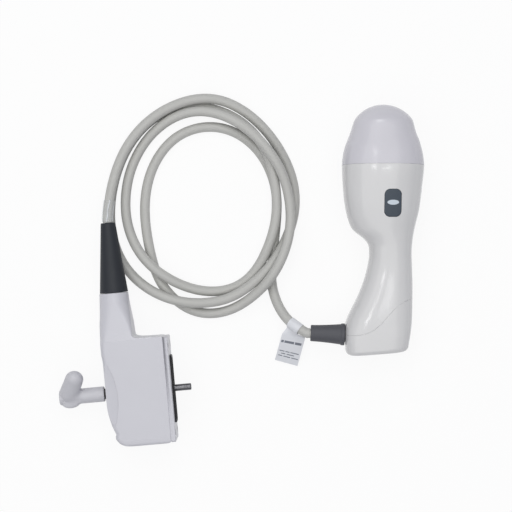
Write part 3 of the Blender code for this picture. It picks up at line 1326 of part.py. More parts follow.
def make_lock():
    left = HOUSING_LEFT
    shaft = cylinder(SHAFT_RADIUS, LEVER_STEM_START - SHAFT_SEAT, SHAFT_TIP, 20)
    place(shaft, "lock_shaft", LOCK, STEEL)
    bevel(shaft, SHAFT_EDGE, 1)
    place_x = SHAFT_TIP - PIN_FROM_TIP
    hole = cylinder(PIN_RADIUS + PRESS, -LEAD, LEAD, 12, (place_x, 0), "Z")
    boolean(shaft, place(hole, "cut_pin_hole", LOCK, cutter=True))
    pin = cylinder(PIN_RADIUS, -PIN_LENGTH / 2, PIN_LENGTH / 2, 12, (place_x, 0), "Z")
    place(pin, "shaft_pin", LOCK, STEEL)
    profile = [
        (BUSH_RADIUS, left + BUSH_LENGTH), (BUSH_RADIUS, left), (SHAFT_RADIUS + RUNNING, left),
        (SHAFT_RADIUS + RUNNING, left + BUSH_LENGTH), (BUSH_RADIUS, left + BUSH_LENGTH),
    ]
    bush = turned(profile, 20)
    bush.rotation_euler = (0, math.radians(90), 0)
    place(bush, "shaft_bush", PLUG, BRASS)
    ring_low = left + BUSH_LENGTH + TOUCH
    profile = [
        (RING_RADIUS, ring_low + RING_THICKNESS), (RING_RADIUS, ring_low),
        (SHAFT_RADIUS + PRESS, ring_low), (SHAFT_RADIUS + PRESS, ring_low + RING_THICKNESS),
        (RING_RADIUS, ring_low + RING_THICKNESS),
    ]
    ring = turned(profile, 20)
    ring.rotation_euler = (0, math.radians(90), 0)
    place(ring, "retaining_ring", LOCK, STEEL)
    high = left - TOUCH
    low = LEVER_STEM_START + TOUCH
    profile = [
        (COLLAR_RADIUS, high), (COLLAR_RADIUS, low), (SHAFT_RADIUS + PRESS, low),
        (SHAFT_RADIUS + PRESS, high), (COLLAR_RADIUS, high),
    ]
    collar = turned(profile, 20)
    collar.rotation_euler = (0, math.radians(90), 0)
    place(collar, "lever_collar", LOCK, STEEL)


def make_lever():
    """Stem on the shaft's axis, an arm leaning back to the housing, and a short blunt tail."""
    stem = turned([
        (0, LEVER_STEM_START), (LEVER_STEM_RADIUS - LEVER_EDGE, LEVER_STEM_START),
        (LEVER_STEM_RADIUS, LEVER_STEM_START - LEVER_EDGE), (LEVER_STEM_RADIUS, LEVER_ELBOW + LEAD / 2),
        (LEVER_STEM_RADIUS - LEVER_EDGE, LEVER_END + LEVER_END_EDGE),
        (LEVER_STEM_RADIUS - LEVER_END_EDGE, LEVER_END), (0, LEVER_END),
    ], 24)
    stem.rotation_euler = (0, math.radians(90), 0)
    lever = place(stem, "lock_lever", LOCK, LEVER_PLASTIC)
    arm = lever_arm(LEVER_ARM, LEVER_LEAN, LEVER_ROOT_RADIUS, LEVER_TIP_RADIUS)
    boolean(lever, place(arm, "add_lever_arm", LEVER_PLANE, cutter=True), "UNION")
    tail = lever_arm(-LEVER_TAIL, -LEVER_TAIL_LEAN, LEVER_STEM_RADIUS, LEVER_TAIL_RADIUS)
    boolean(lever, place(tail, "add_lever_tail", LEVER_PLANE, cutter=True), "UNION")
    bore_end = LEVER_STEM_START - SHAFT_SEAT - TOUCH
    bore = cylinder(SHAFT_RADIUS + PRESS, bore_end, LEVER_STEM_START + PAST, 20)
    boolean(lever, place(bore, "cut_lever_bore", LOCK, cutter=True))


def lever_arm(length, lean, root_radius, tip_radius):
    """Rounded bar from the elbow outwards, as rings along its own line."""
    direction = Vector((math.sin(math.radians(lean)) * math.copysign(1, length),
                        math.cos(math.radians(lean)) * math.copysign(1, length), 0))
    side = Vector((-direction.y, direction.x, 0))
    up = Vector((0, 0, 1))
    start = Vector((LEVER_ELBOW, 0, 0))
    rings = []
    stations = [(0.0, root_radius * 0.8), (abs(length) * 0.3, root_radius)]
    for k in range(6):
        angle = math.radians(88 * k / 5)
        stations.append((abs(length) + tip_radius * math.sin(angle), tip_radius * math.cos(angle)))
    for along, radius in stations:
        centre = start + direction * along
        rings.append([
            centre + side * radius * math.cos(a) + up * radius * 0.85 * math.sin(a)
            for a in np.linspace(0, 2 * math.pi, 16, endpoint=False)
        ])
    return loft(rings)


# Cable and what is on it


def cable_path(count):
    """Points along the cable: straight out of each strain relief, and smooth in between."""
    start = PLUG_RELIEF.matrix_world @ Vector((0, 0, PLUG_RELIEF_LENGTH + TOUCH))
    after_start = PLUG_RELIEF.matrix_world @ Vector((0, 0, PLUG_RELIEF_LENGTH + CABLE_LEAD))
    before_end = GRIP_RELIEF.matrix_world @ Vector((0, 0, GRIP_RELIEF_LENGTH + CABLE_LEAD))
    end = GRIP_RELIEF.matrix_world @ Vector((0, 0, GRIP_RELIEF_LENGTH + TOUCH))
    route = [tuple(after_start)]
    for degrees, reach, height in LOOP_ROUTE:
        angle = math.radians(degrees)
        route.append((
            (LOOP_CENTRE[0] + reach * math.cos(angle)) * MM,
            (LOOP_CENTRE[1] + reach * math.sin(angle)) * MM, height * MM,
        ))
    route += [(x * MM, y * MM, z * MM) for x, y, z in LEAD_IN]
    route.append(tuple(before_end))
    middle = [(x, y, max(z, CABLE_RADIUS)) for x, y, z in smooth_path(route, count - 2)]
    return [tuple(start)] + middle + [tuple(end)]


def make_cable():
    place(tube(CABLE_PATH, CABLE_RADIUS, 2), "cable", None, CABLE_GREY)


def cable_frame(name, index, roll=0.0):
    """Frame in the middle of one straight stretch of the cable, with X along it."""
    before, after = Vector(CABLE_PATH[index]), Vector(CABLE_PATH[index + 1])
    along = (after - before).normalized()
    across = Vector((0, 0, 1)).cross(along).normalized()
    upright = along.cross(across)
    frame = Matrix((along, across, upright)).transposed() @ Matrix.Rotation(math.radians(roll), 3, "X")
    return empty(name, (before + after) / 2, frame.to_euler())


def make_sleeve():
    inner = CABLE_RADIUS + TOUCH
    outer = inner + SLEEVE_WALL
    half = SLEEVE_LENGTH / 2
    sleeve = turned([(outer, half), (outer, -half), (inner, -half), (inner, half), (outer, half)], 20)
    sleeve.rotation_euler = (0, math.radians(90), 0)
    place(sleeve, "film_sleeve", SLEEVE, FILM)


def make_tag():
    """Film label folded round the cable, with its flag lying down to the table."""
    ring = turned([
        (TAG_OUTER, TAG_WRAP / 2), (TAG_OUTER, -TAG_WRAP / 2), (TAG_INNER, -TAG_WRAP / 2),
        (TAG_INNER, TAG_WRAP / 2), (TAG_OUTER, TAG_WRAP / 2),
    ], 20)
    ring.rotation_euler = (0, math.radians(90), 0)
    tag = place(ring, "cable_tag", TAG, TAG_WHITE)
    half = TAG_WRAP / 2
    root = -TAG_INNER - TAG_THICKNESS / 2
    skew = Matrix.Rotation(math.radians(TAG_SKEW), 2)
    outline = [(-half, root)]
    for x, y in (
        (-TAG_HALF_WIDTH, -TAG_SHOULDER), (-TAG_HALF_WIDTH, -TAG_LENGTH),
        (TAG_HALF_WIDTH, -TAG_LENGTH), (TAG_HALF_WIDTH, -TAG_SHOULDER),
    ):
        turned_point = skew @ Vector((x, y - root))
        outline.append((turned_point.x, turned_point.y + root))
    outline.append((half, root))
    flag = plate([outline], -TAG_THICKNESS / 2, TAG_THICKNESS / 2)
    boolean(tag, place(flag, "add_tag_flag", TAG, cutter=True), "UNION")


clear_scene()
PARTS = new_collection("ultrasound_probe")
CUTTERS = new_collection("cutters")

DOME_PLASTIC = material("dome_plastic", (0.60, 0.59, 0.64), 0.3)
BODY_PLASTIC = material("body_plastic", (0.66, 0.66, 0.65), 0.28)
BUTTON_RUBBER = material("button_rubber", (0.07, 0.09, 0.11), 0.6)
SWITCH_BLACK = material("black_plastic", (0.012, 0.012, 0.014), 0.5)
BOARD_GREEN = material("circuit_board", (0.02, 0.16, 0.06), 0.5)
METAL = material("cast_aluminium", (0.6, 0.61, 0.62), 0.4, 1.0)
STEEL = material("steel", (0.42, 0.42, 0.42), 0.35, 1.0)
BRASS = material("brass", (0.72, 0.52, 0.22), 0.35, 1.0)
SEAL_RUBBER = material("seal_rubber", (0.02, 0.02, 0.02), 0.7)
LENS_RUBBER = material("lens_rubber", (0.22, 0.24, 0.27), 0.5)
CRYSTAL = material("crystal", (0.55, 0.50, 0.36), 0.4)
BACKING_BLACK = material("backing_block", (0.03, 0.03, 0.035), 0.7)
FLEX_FILM = material("flex_film", (0.55, 0.26, 0.05), 0.4)
RELIEF_GREY = material("relief_grey", (0.095, 0.095, 0.105), 0.55)
RELIEF_DARK = material("relief_dark", (0.045, 0.055, 0.062), 0.55)
CABLE_GREY = material("cable_grey", (0.46, 0.46, 0.44), 0.55)
HOUSING_PLASTIC = material("housing_plastic", (0.58, 0.58, 0.61), 0.35)
LEVER_PLASTIC = material("lever_plastic", (0.52, 0.52, 0.56), 0.4)
CONTACT_GREY = material("contact_grey", (0.16, 0.16, 0.17), 0.5)
FILM = material("clear_film", (0.78, 0.80, 0.80), 0.15)
TAG_WHITE = material("tag_white", (0.66, 0.68, 0.73), 0.35)

LYING_TURN, AXIS_HEIGHT = lying_pose()
PROBE = empty("probe_frame", (PROBE_X, PROBE_TOP_Y, AXIS_HEIGHT), (LYING_TURN, 0, 0))
SWING = empty("swing_axis", (0, -SWING_AXIS, 0), parent=PROBE)
MOTOR_AXIS = empty("motor_axis", (0, -MOTOR_S, 0), parent=PROBE)
LEFT_FACE = -probe_values(GRIP_RELIEF_S)[0] * MM
GRIP_RELIEF_INSIDE = GRIP_RELIEF_GAP + BODY_WALL + GRIP_FLANGE_GAP + GRIP_FLANGE
GRIP_RELIEF = empty(
    "probe_relief_axis", (LEFT_FACE - GRIP_RELIEF_GAP, -GRIP_RELIEF_S, 0),
    (0, math.radians(-90), math.radians(-GRIP_RELIEF_TURN)), PROBE,
)
PLUG = empty(
    "connector_frame", (*CONNECTOR_PLACE, CONNECTOR_HALF_DEPTH + TABLE_CLEARANCE),
    (0, 0, math.radians(CONNECTOR_TURN)),
)
HOUSING_FLOOR = -(HOUSING_STATIONS[0][0] * MM + HOUSING_WALL)
PLUG_RELIEF_INSIDE = HOUSING_WALL + PLUG_FLANGE_GAP + PLUG_FLANGE
PLUG_RELIEF = empty(
    "connector_relief_axis", (PLUG_RELIEF_X, PLUG_RELIEF_START, 0), (math.radians(-90), 0, 0), PLUG,
)
LOCK = empty("lock_axis", parent=PLUG)
LEVER_PLANE = empty("lever_plane", (0, 0, 0), (math.radians(LEVER_TURN), 0, 0), LOCK)
TAG_INNER = CABLE_RADIUS + TOUCH
TAG_OUTER = TAG_INNER + TAG_THICKNESS
bpy.context.view_layer.update()
CABLE_PATH = cable_path(CABLE_POINTS)
TAG = cable_frame("tag_frame", -3, TAG_DROP)
SLEEVE = cable_frame("sleeve_frame", 1)
bpy.context.view_layer.update()

BUTTON_TOP = surface_depth(BUTTON_S, BUTTON_X)
BUTTON_BASE = BUTTON_TOP - BUTTON_HEIGHT
CAVITY = place(probe_solid(BULKHEAD_BACK, BODY_WALL), "cut_cavity", PROBE, cutter=True)
BUTTON_HOLE = place(
    plate([button_outline(TOUCH)], BUTTON_BASE - LEAD, BUTTON_TOP + LEAD), "cut_button_hole", PROBE,
    cutter=True,
)
RELIEF_HOLE = place(
    cylinder(GRIP_RELIEF_NECK + TOUCH, -BODY_WALL - LEAD, LEAD, 24, (0, 0), "Z"),
    "cut_relief_seat", GRIP_RELIEF, cutter=True,
)

make_dome_cap()
make_body_shell()
make_base_shell()
make_button()
make_button_electronics()
make_signal_board()
make_inner_cable()
make_bulkhead()
make_chamber_small_parts()
make_flex()
make_yoke()
make_bearings()
make_axle()
make_array()
make_carrier()
make_gears()
make_motor()
make_yoke_screws()
make_grip_relief()
make_plug_relief()
make_housing()
make_front_frame()
make_contacts()
make_connector_bundle()
make_lock()
make_lever()
make_cable()
make_sleeve()
make_tag()
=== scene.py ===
# %% [markdown]
# # A volume ultrasound probe with its cable and connector
# The object lies on a table and is seen from straight above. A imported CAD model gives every
# piece its place and size. Each cell here makes one visible piece or finish around that model,
# because a faceted solid has the right size but not yet the soft skin of a moulded product.

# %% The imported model
import json
import math

import bmesh
import bpy
import numpy as np
from mathutils import Matrix, Vector, noise

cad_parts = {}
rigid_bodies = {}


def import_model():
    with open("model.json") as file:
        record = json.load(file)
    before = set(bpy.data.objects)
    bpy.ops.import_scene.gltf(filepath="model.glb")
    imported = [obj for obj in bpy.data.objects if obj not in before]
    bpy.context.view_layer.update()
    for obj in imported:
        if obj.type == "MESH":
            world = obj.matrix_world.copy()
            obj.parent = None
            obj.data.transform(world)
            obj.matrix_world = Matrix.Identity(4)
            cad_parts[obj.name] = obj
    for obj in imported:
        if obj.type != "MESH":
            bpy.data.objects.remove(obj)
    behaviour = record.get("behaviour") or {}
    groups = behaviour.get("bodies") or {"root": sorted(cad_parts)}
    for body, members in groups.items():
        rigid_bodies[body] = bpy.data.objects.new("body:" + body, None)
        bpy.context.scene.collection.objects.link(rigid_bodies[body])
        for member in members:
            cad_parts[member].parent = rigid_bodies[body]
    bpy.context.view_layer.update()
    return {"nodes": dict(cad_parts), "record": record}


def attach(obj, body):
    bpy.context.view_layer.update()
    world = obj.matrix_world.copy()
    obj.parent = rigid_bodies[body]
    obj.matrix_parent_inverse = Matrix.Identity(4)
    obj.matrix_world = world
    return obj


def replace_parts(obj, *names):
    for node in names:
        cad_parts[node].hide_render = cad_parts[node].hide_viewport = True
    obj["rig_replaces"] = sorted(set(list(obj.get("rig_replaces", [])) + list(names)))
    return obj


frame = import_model()
NODES = frame["nodes"]
MM = 0.001
print("CAD nodes:", len(NODES))

# %% [markdown]
# ## Camera
# The photograph looks straight down from about 1.2 m. Its middle falls on a point between the
# probe and the loops. The frame is 410 mm wide at the table, so the lens follows from the two.

# %% Camera
VIEW_HEIGHT = 1.2
VIEW_WIDTH = 0.4096
VIEW_CENTRE = (-0.0865, -0.01995)


def add_object(name, data):
    """Object at the origin with this data."""
    made = bpy.data.objects.new(name, data)
    bpy.context.scene.collection.objects.link(made)
    return made


camera_data = bpy.data.cameras.new("camera")
camera_data.angle = 2 * math.atan(VIEW_WIDTH / 2 / VIEW_HEIGHT)
camera_data.clip_start = 0.05
camera = add_object("camera", camera_data)
camera.location = (*VIEW_CENTRE, VIEW_HEIGHT)
bpy.context.scene.camera = camera
bpy.context.scene.view_settings.view_transform = "Standard"
print("lens angle, degrees:", round(math.degrees(camera_data.angle), 2))

# %% [markdown]
# ## Frames of the pieces
# The hand probe and the connector were each drawn along their own axes, so their pieces are
# easiest to make there. A matrix then carries each finished mesh to its place on the table,
# and the object itself stays at the origin.

# %% Frames
TABLE_CLEARANCE = 0.05 * MM
TOUCH = 0.3 * MM
PROBE_PLACE = (12.7 * MM, 98.05 * MM, 30.5355 * MM)
LYING_TURN = math.radians(2.7266)
PLUG_PLACE = (-150.36 * MM, -123.7 * MM, 19.05 * MM)
PLUG_TURN = math.radians(5.0)

PROBE = Matrix.Translation(PROBE_PLACE) @ Matrix.Rotation(LYING_TURN, 4, "X")
PLUG = Matrix.Translation(PLUG_PLACE) @ Matrix.Rotation(PLUG_TURN, 4, "Z")
TO_METRES = Matrix.Scale(MM, 4)
QUARTER_TURN = Matrix.Rotation(math.pi / 2, 4, "Y")
PROBE_MM = PROBE @ TO_METRES
PLUG_MM = PLUG @ TO_METRES


def frame_along(origin, along, up=(0, 0, 1)):
    """Matrix at origin whose Z runs along the given direction."""
    z = Vector(along).normalized()
    x = Vector(up).cross(z).normalized()
    matrix = Matrix((x, z.cross(x), z)).transposed().to_4x4()
    matrix.translation = origin
    return matrix


print("probe at, m:", [round(v, 4) for v in PROBE.translation])

# %% [markdown]
# ## Mesh helpers
# Most skins here are lofts: rows of points joined into a grid of four-sided faces. A closed
# loft ends in a flat face at each end, or meets its own first row again, as a shell does.


# %% Mesh helpers
CORD_PIECES = []
QUARTER = [math.radians(degrees) for degrees in (0, 30, 60, 90)]


def circle(radius, height=0.0, sides=64, centre=(0.0, 0.0)):
    """Points round a level circle."""
    return [(centre[0] + radius * math.cos(a), centre[1] + radius * math.sin(a), height)
            for a in np.linspace(0, 2 * math.pi, sides, endpoint=False)]


def new_piece(name, bm, matrix=None, sharp=40.0):
    """Turns a bmesh into an object at the origin, with its place in its mesh."""
    bmesh.ops.recalc_face_normals(bm, faces=bm.faces)
    mesh = bpy.data.meshes.new(name)
    bm.to_mesh(mesh)
    bm.free()
    if matrix is not None:
        mesh.transform(matrix)
    mesh.shade_smooth()
    mesh.set_sharp_from_angle(angle=math.radians(sharp))
    return add_object(name, mesh)


def dress(piece, slot, body, *nodes, material=None, on_cord=False):
    """Gives a piece its material, by slot or by name, its body and the nodes that it replaces."""
    piece.data.materials.clear()
    piece.data.materials.append(FINISHES[material or slot])
    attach(piece, body)
    if nodes:
        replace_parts(piece, *nodes)
    if on_cord:
        CORD_PIECES.append(piece)
    return piece


def loft(rows, ring=False):
    """Closed skin through rows of equally many points. A row of one point is a pole, and ring
    joins the last row to the first."""
    bm = bmesh.new()
    verts = [[bm.verts.new(point) for point in row] for row in rows]
    pairs = list(zip(verts, verts[1:]))
    if ring:
        pairs.append((verts[-1], verts[0]))
    count = max(len(row) for row in verts)
    for low, high in pairs:
        for i in range(count):
            j = (i + 1) % count
            corners = (low[i % len(low)], low[j % len(low)],
                       high[j % len(high)], high[i % len(high)])
            bm.faces.new(list(dict.fromkeys(corners)))
    for row in (verts[0], verts[-1]):
        if len(row) > 1 and not ring:
            bm.faces.new(row)
    return bm


def turned(profile, sides=64):
    """Solid of revolution about Z through (radius, height) pairs that start and end at 0."""
    return loft([circle(radius, height, sides) for radius, height in profile[1:-1]])


def rod(radius, low, high, sides=64):
    """Round bar along Z, used for cutting holes."""
    return turned([(0, low), (radius, low), (radius, high), (0, high)], sides)


def cut(piece, cutter, operation="DIFFERENCE"):
    """Applies one Boolean and removes its cutter."""
    modifier = piece.modifiers.new("cut", "BOOLEAN")
    modifier.operation = operation
    modifier.solver = "EXACT"
    modifier.object = cutter
    bake(piece)
    bpy.data.objects.remove(cutter, do_unlink=True)


def bake(piece):
    """Replaces the piece's mesh by its evaluated one and drops the modifiers."""
    graph = bpy.context.evaluated_depsgraph_get()
    mesh = bpy.data.meshes.new_from_object(piece.evaluated_get(graph))
    piece.modifiers.clear()
    piece.data = mesh


def rounded_rectangle(half_u, half_v, corner, centre=(0, 0), steps=8):
    """Outline in two coordinates, from the right side round to the left and back."""
    points = []
    for quarter in range(4):
        side_u = 1 if quarter in (0, 3) else -1
        side_v = 1 if quarter in (0, 1) else -1
        for k in range(steps + 1):
            angle = math.radians(90 * (quarter + k / steps))
            points.append((
                centre[0] + side_u * (half_u - corner) + corner * math.cos(angle),
                centre[1] + side_v * (half_v - corner) + corner * math.sin(angle),
            ))
    return points


print("mesh helpers are ready")

# %% [markdown]
# ## Moulded grain, a shader node group
# A moulded part is never one flat value. Its gloss wanders a little, its colour drifts by a
# percent or two, and the tool leaves a fine grain. One group with its own inputs gives all
# three, and each material sets its own scale.


# %% Moulded grain
def add_sockets(tree, direction, *rows):
    """Interface sockets from rows of a name, a type and, where it has one, a default."""
    for name, kind, *default in rows:
        socket = tree.interface.new_socket(
            name=name, in_out=direction, socket_type="NodeSocket" + kind,
        )
        if default:
            socket.default_value = default[0]


def add_node(tree, kind, values=(), **settings):
    """New node with values on its inputs, from (input, value) pairs, and its own settings."""
    node = tree.nodes.new(kind)
    for name, value in settings.items():
        setattr(node, name, value)
    for name, value in values:
        node.inputs[name].default_value = value
    return node


def wire(tree, *rows):
    """Links an output of one node to an input of another, for each row."""
    for source, output, target, name in rows:
        tree.links.new(source.outputs[output], target.inputs[name])


def make_grain_group():
    """Outputs a fine Height and a slow Tone from a position."""
    tree = bpy.data.node_groups.new("moulded_grain", "ShaderNodeTree")
    add_sockets(tree, "INPUT", ("Vector", "Vector"), ("Grain Scale", "Float", 1500.0),
                ("Tone Scale", "Float", 40.0))
    add_sockets(tree, "OUTPUT", ("Height", "Float"), ("Tone", "Float"))
    source = add_node(tree, "NodeGroupInput")
    result = add_node(tree, "NodeGroupOutput")
    fine = add_node(tree, "ShaderNodeTexNoise", [("Detail", 3.0)])
    slow = add_node(tree, "ShaderNodeTexNoise", [("Detail", 4.0)])
    wire(tree,
         (source, "Vector", fine, "Vector"), (source, "Vector", slow, "Vector"),
         (source, "Grain Scale", fine, "Scale"), (source, "Tone Scale", slow, "Scale"),
         (fine, "Fac", result, "Height"), (slow, "Fac", result, "Tone"))
    return tree


GRAIN = make_grain_group()
print("node group:", GRAIN.name)

# %% [markdown]
# ## Finishes
# Each finish is a Principled shader fed by the grain group: Tone moves the colour between two
# near shades and the roughness between two values, and Height bends the normal a little. Most
# colours are given as a picture shows them, those of metals and inner pieces as linear values.


# %% Finishes
def srgb(red, green, blue):
    """Linear colour from the 0 to 255 values that a picture shows."""
    values = [v / 255 for v in (red, green, blue)]
    return tuple(v / 12.92 if v <= 0.04045 else ((v + 0.055) / 1.055) ** 2.4 for v in values)


FINISHES = {}
GLOSS_DRIFT = 0.12
GRAIN_HEIGHT = 0.05 * MM


def finish(name, colour, roughness, metallic=0.0, grain=1500.0, depth=0.02, drift=0.03,
           tone=40.0, specular=0.5):
    """Moulded or metal finish with a little variation in colour, gloss and relief."""
    made = bpy.data.materials.new(name)
    made.use_nodes = True
    tree = made.node_tree
    shader = tree.nodes["Principled BSDF"]
    shader.inputs["Metallic"].default_value = metallic
    shader.inputs["Specular IOR Level"].default_value = specular
    where = add_node(tree, "ShaderNodeTexCoord")
    group = add_node(tree, "ShaderNodeGroup", node_tree=GRAIN)
    group.inputs["Grain Scale"].default_value = grain
    group.inputs["Tone Scale"].default_value = tone
    shade = add_node(tree, "ShaderNodeMix", data_type="RGBA")
    shade.inputs["A"].default_value = (*[c * (1 - drift) for c in colour], 1)
    shade.inputs["B"].default_value = (*[min(c * (1 + drift), 1) for c in colour], 1)
    gloss = add_node(tree, "ShaderNodeMapRange", [
        ("To Min", roughness * (1 - GLOSS_DRIFT)), ("To Max", roughness * (1 + GLOSS_DRIFT)),
    ])
    bump = add_node(tree, "ShaderNodeBump", [("Strength", depth), ("Distance", GRAIN_HEIGHT)])
    wire(tree,
         (where, "Object", group, "Vector"), (group, "Tone", shade, "Factor"),
         (shade, "Result", shader, "Base Color"), (group, "Tone", gloss, "Value"),
         (gloss, "Result", shader, "Roughness"), (group, "Height", bump, "Height"),
         (bump, "Normal", shader, "Normal"))
    FINISHES[name] = made


for name, shown, roughness, more in (
    ("dome_plastic", (198, 197, 203), 0.22, {"depth": 0.05}),
    ("body_plastic", (206, 206, 206), 0.15, {"depth": 0.03}),
    ("housing_plastic", (196, 196, 202), 0.32, {"depth": 0.08}),
    ("lever_plastic", (192, 192, 197), 0.42, {"depth": 0.10}),
    ("button_rubber", (70, 78, 87), 0.60, {"grain": 900.0, "depth": 0.5, "specular": 0.3}),
    ("relief_grey", (82, 83, 88), 0.55, {"grain": 1200.0, "depth": 0.3, "specular": 0.3}),
    ("relief_dark", (45, 48, 53), 0.50, {"grain": 1200.0, "depth": 0.25, "specular": 0.25}),
    ("black_plastic", (14, 14, 18), 0.45, {"depth": 0.1, "specular": 0.3}),
    ("contact_grey", (90, 90, 94), 0.5, {"depth": 0.1}),
    ("circuit_board", (26, 92, 52), 0.45, {"grain": 600.0, "depth": 0.2}),
    ("lens_rubber", (130, 135, 142), 0.45, {"depth": 0.05}),
    ("cable_grey", (181, 181, 177), 0.5, {"depth": 0.1}),
    ("clear_film", (225, 228, 230), 0.12, {"depth": 0.1}),
    ("tag_white", (216, 218, 222), 0.3, {"depth": 0.05}),
    ("mark_print", (196, 206, 215), 0.5, {}),
    ("tag_ink", (112, 117, 126), 0.5, {"drift": 0.2, "tone": 600.0}),
):
    finish(name, srgb(*shown), roughness, **more)
for name, colour, roughness, more in (
    ("cast_aluminium", (0.60, 0.61, 0.62), 0.38, {"metallic": 1.0, "grain": 800.0, "depth": 0.2}),
    ("steel", (0.45, 0.45, 0.45), 0.32, {"metallic": 1.0, "grain": 2000.0, "depth": 0.1}),
    ("brass", (0.72, 0.52, 0.22), 0.32, {"metallic": 1.0, "depth": 0.1}),
    ("shaft_steel", (0.16, 0.16, 0.17), 0.34,
     {"metallic": 1.0, "grain": 900.0, "depth": 0.3, "drift": 0.15, "tone": 150.0}),
    ("collar_dark", (0.030, 0.026, 0.022), 0.6, {"metallic": 0.3}),
    ("seal_rubber", (0.02, 0.02, 0.02), 0.6, {"depth": 0.2}),
    ("crystal", (0.55, 0.50, 0.36), 0.4, {"depth": 0.1}),
    ("backing_block", (0.03, 0.03, 0.035), 0.7, {"grain": 700.0, "depth": 0.4}),
    ("flex_film", (0.55, 0.26, 0.05), 0.3, {"depth": 0.05}),
):
    finish(name, colour, roughness, **more)

for entry in frame["record"]["subparts"]:
    node = NODES[entry["node"]]
    node.data.materials.clear()
    node.data.materials.append(FINISHES[entry["material_slot"]])
NODES["lever_collar"].data.materials[0] = FINISHES["collar_dark"]
print("finishes:", len(FINISHES))

# %% [markdown]
# ## The cable's route
# A cable has a fixed length, so its route is settled before its looks. It leaves the
# connector's strain relief straight, lies in four loops, climbs over itself in long low humps
# where it crosses, and rises to the strain relief on the probe's base. The route is given as
# angle, distance from the loops' centre and height, because that is how loops are read.

# %% Route
CABLE_RADIUS = 3.9 * MM
CABLE_LEAD = 3.0 * MM
GRIP_RELIEF_LENGTH = 26.6 * MM
PLUG_RELIEF_LENGTH = 55.0 * MM
GRIP_RELIEF_PLACE = (-29.72 * MM, -179.8 * MM, 0.0)
GRIP_RELIEF_TURN = math.radians(2.4)
PLUG_RELIEF_PLACE = (-41.2 * MM, 78.9 * MM, 0.0)
LOOP_CENTRE = (-125.6, 26.0)
SPLINE_STEPS = 12
SOFTEN_ROUNDS = 30
LOW = 3.95
LOOP_ROUTE = (
    (183, 77.3, 16.2), (170, 75.4, 13.0), (152, 75.3, 12.0), (133, 76.4, 12.0), (115, 77.7, 12.0),
    (98, 79.3, 11.7), (84, 79.5, 9.0), (70, 76.6, 6.0), (55, 73.0, LOW), (38, 70.3, LOW),
    (18, 70.0, LOW), (0, 70.8, LOW), (-15, 71.0, 5.0), (-30, 71.3, 8.9), (-42, 73.0, 12.4),
    (-55, 75.6, 11.8), (-75, 81.4, 10.8), (-90, 83.5, 10.4), (-102, 84.8, 12.5),
    (-112, 85.6, 12.8), (-124, 86.1, 8.8), (-138, 85.8, 4.6), (-153, 83.0, LOW),
    (-168, 79.2, LOW), (-185, 76.0, LOW), (-205, 75.2, LOW), (-225, 76.4, LOW), (-243, 77.2, LOW),
    (-260, 75.4, LOW), (-275, 71.6, LOW), (-290, 68.2, 4.1), (-305, 64.2, 8.2),
    (-320, 60.9, 12.3), (-335, 57.1, 12.1), (-352, 55.6, 12.0), (-370, 56.7, 12.0),
    (-386, 59.4, 12.4), (-400, 62.8, 11.6), (-415, 69.6, 6.5), (-430, 75.0, 4.2),
    (-446, 75.2, LOW), (-462, 73.0, 6.4), (-477, 70.8, 11.4), (-490, 70.0, 12.8),
    (-503, 68.8, 11.4), (-518, 67.2, 6.6), (-534, 65.8, LOW), (-556, 65.2, LOW),
    (-576, 66.4, LOW), (-592, 68.2, 6.2), (-608, 69.8, 9.4), (-624, 70.1, 12.0),
    (-641, 67.3, 12.4), (-656, 64.1, 14.6), (-670, 62.2, 19.4), (-682, 61.4, 20.8),
    (-695, 62.6, 19.4), (-711, 64.2, 15.0), (-726, 66.9, 13.2), (-738, 70.1, 14.4),
    (-750, 73.6, 17.2), (-762, 77.8, 19.8), (-772, 81.8, 17.4), (-785, 86.4, 11.0),
    (-798, 91.4, 5.4), (-812, 92.6, LOW), (-825, 87.0, LOW), (-840, 76.4, LOW), (-853, 64.8, LOW),
    (-868, 56.4, LOW), (-888, 51.0, LOW), (-912, 49.2, LOW), (-938, 51.2, LOW), (-965, 55.6, LOW),
    (-992, 58.0, LOW), (-1018, 57.7, LOW), (-1045, 56.0, LOW), (-1072, 55.8, LOW),
    (-1095, 57.6, LOW), (-1110, 62.1, LOW), (-1119, 68.2, LOW), (-1131.6, 81.3, LOW),
)
LEAD_IN = (
    (-73.6, -47.4, 4.6), (-70.8, -56.2, 7.4), (-66.2, -65.2, 11.4), (-60.0, -73.3, 16.0),
)


OUT_PLUG = PLUG.to_3x3() @ Vector((0, 1, 0))
OUT_GRIP = PROBE.to_3x3() @ Vector((-math.cos(GRIP_RELIEF_TURN), math.sin(GRIP_RELIEF_TURN), 0))
GRIP_RELIEF = frame_along(PROBE @ Vector(GRIP_RELIEF_PLACE), OUT_GRIP)
PLUG_RELIEF = frame_along(PLUG @ Vector(PLUG_RELIEF_PLACE), OUT_PLUG)


def cable_points(count):
    """Evenly spaced points on a smooth curve from the connector's relief to the probe's."""
    plug_tip = PLUG_RELIEF.translation + OUT_PLUG * PLUG_RELIEF_LENGTH
    grip_tip = GRIP_RELIEF.translation + OUT_GRIP * GRIP_RELIEF_LENGTH
    route = [plug_tip + OUT_PLUG * TOUCH, plug_tip + OUT_PLUG * CABLE_LEAD]
    for degrees, reach, height in LOOP_ROUTE:
        angle = math.radians(degrees)
        route.append(Vector((
            (LOOP_CENTRE[0] + reach * math.cos(angle)) * MM,
            (LOOP_CENTRE[1] + reach * math.sin(angle)) * MM, height * MM,
        )))
    route += [Vector(point) * MM for point in LEAD_IN]
    route += [grip_tip + OUT_GRIP * CABLE_LEAD, grip_tip + OUT_GRIP * TOUCH]
    return smooth_curve(np.array([tuple(p) for p in route]), count)


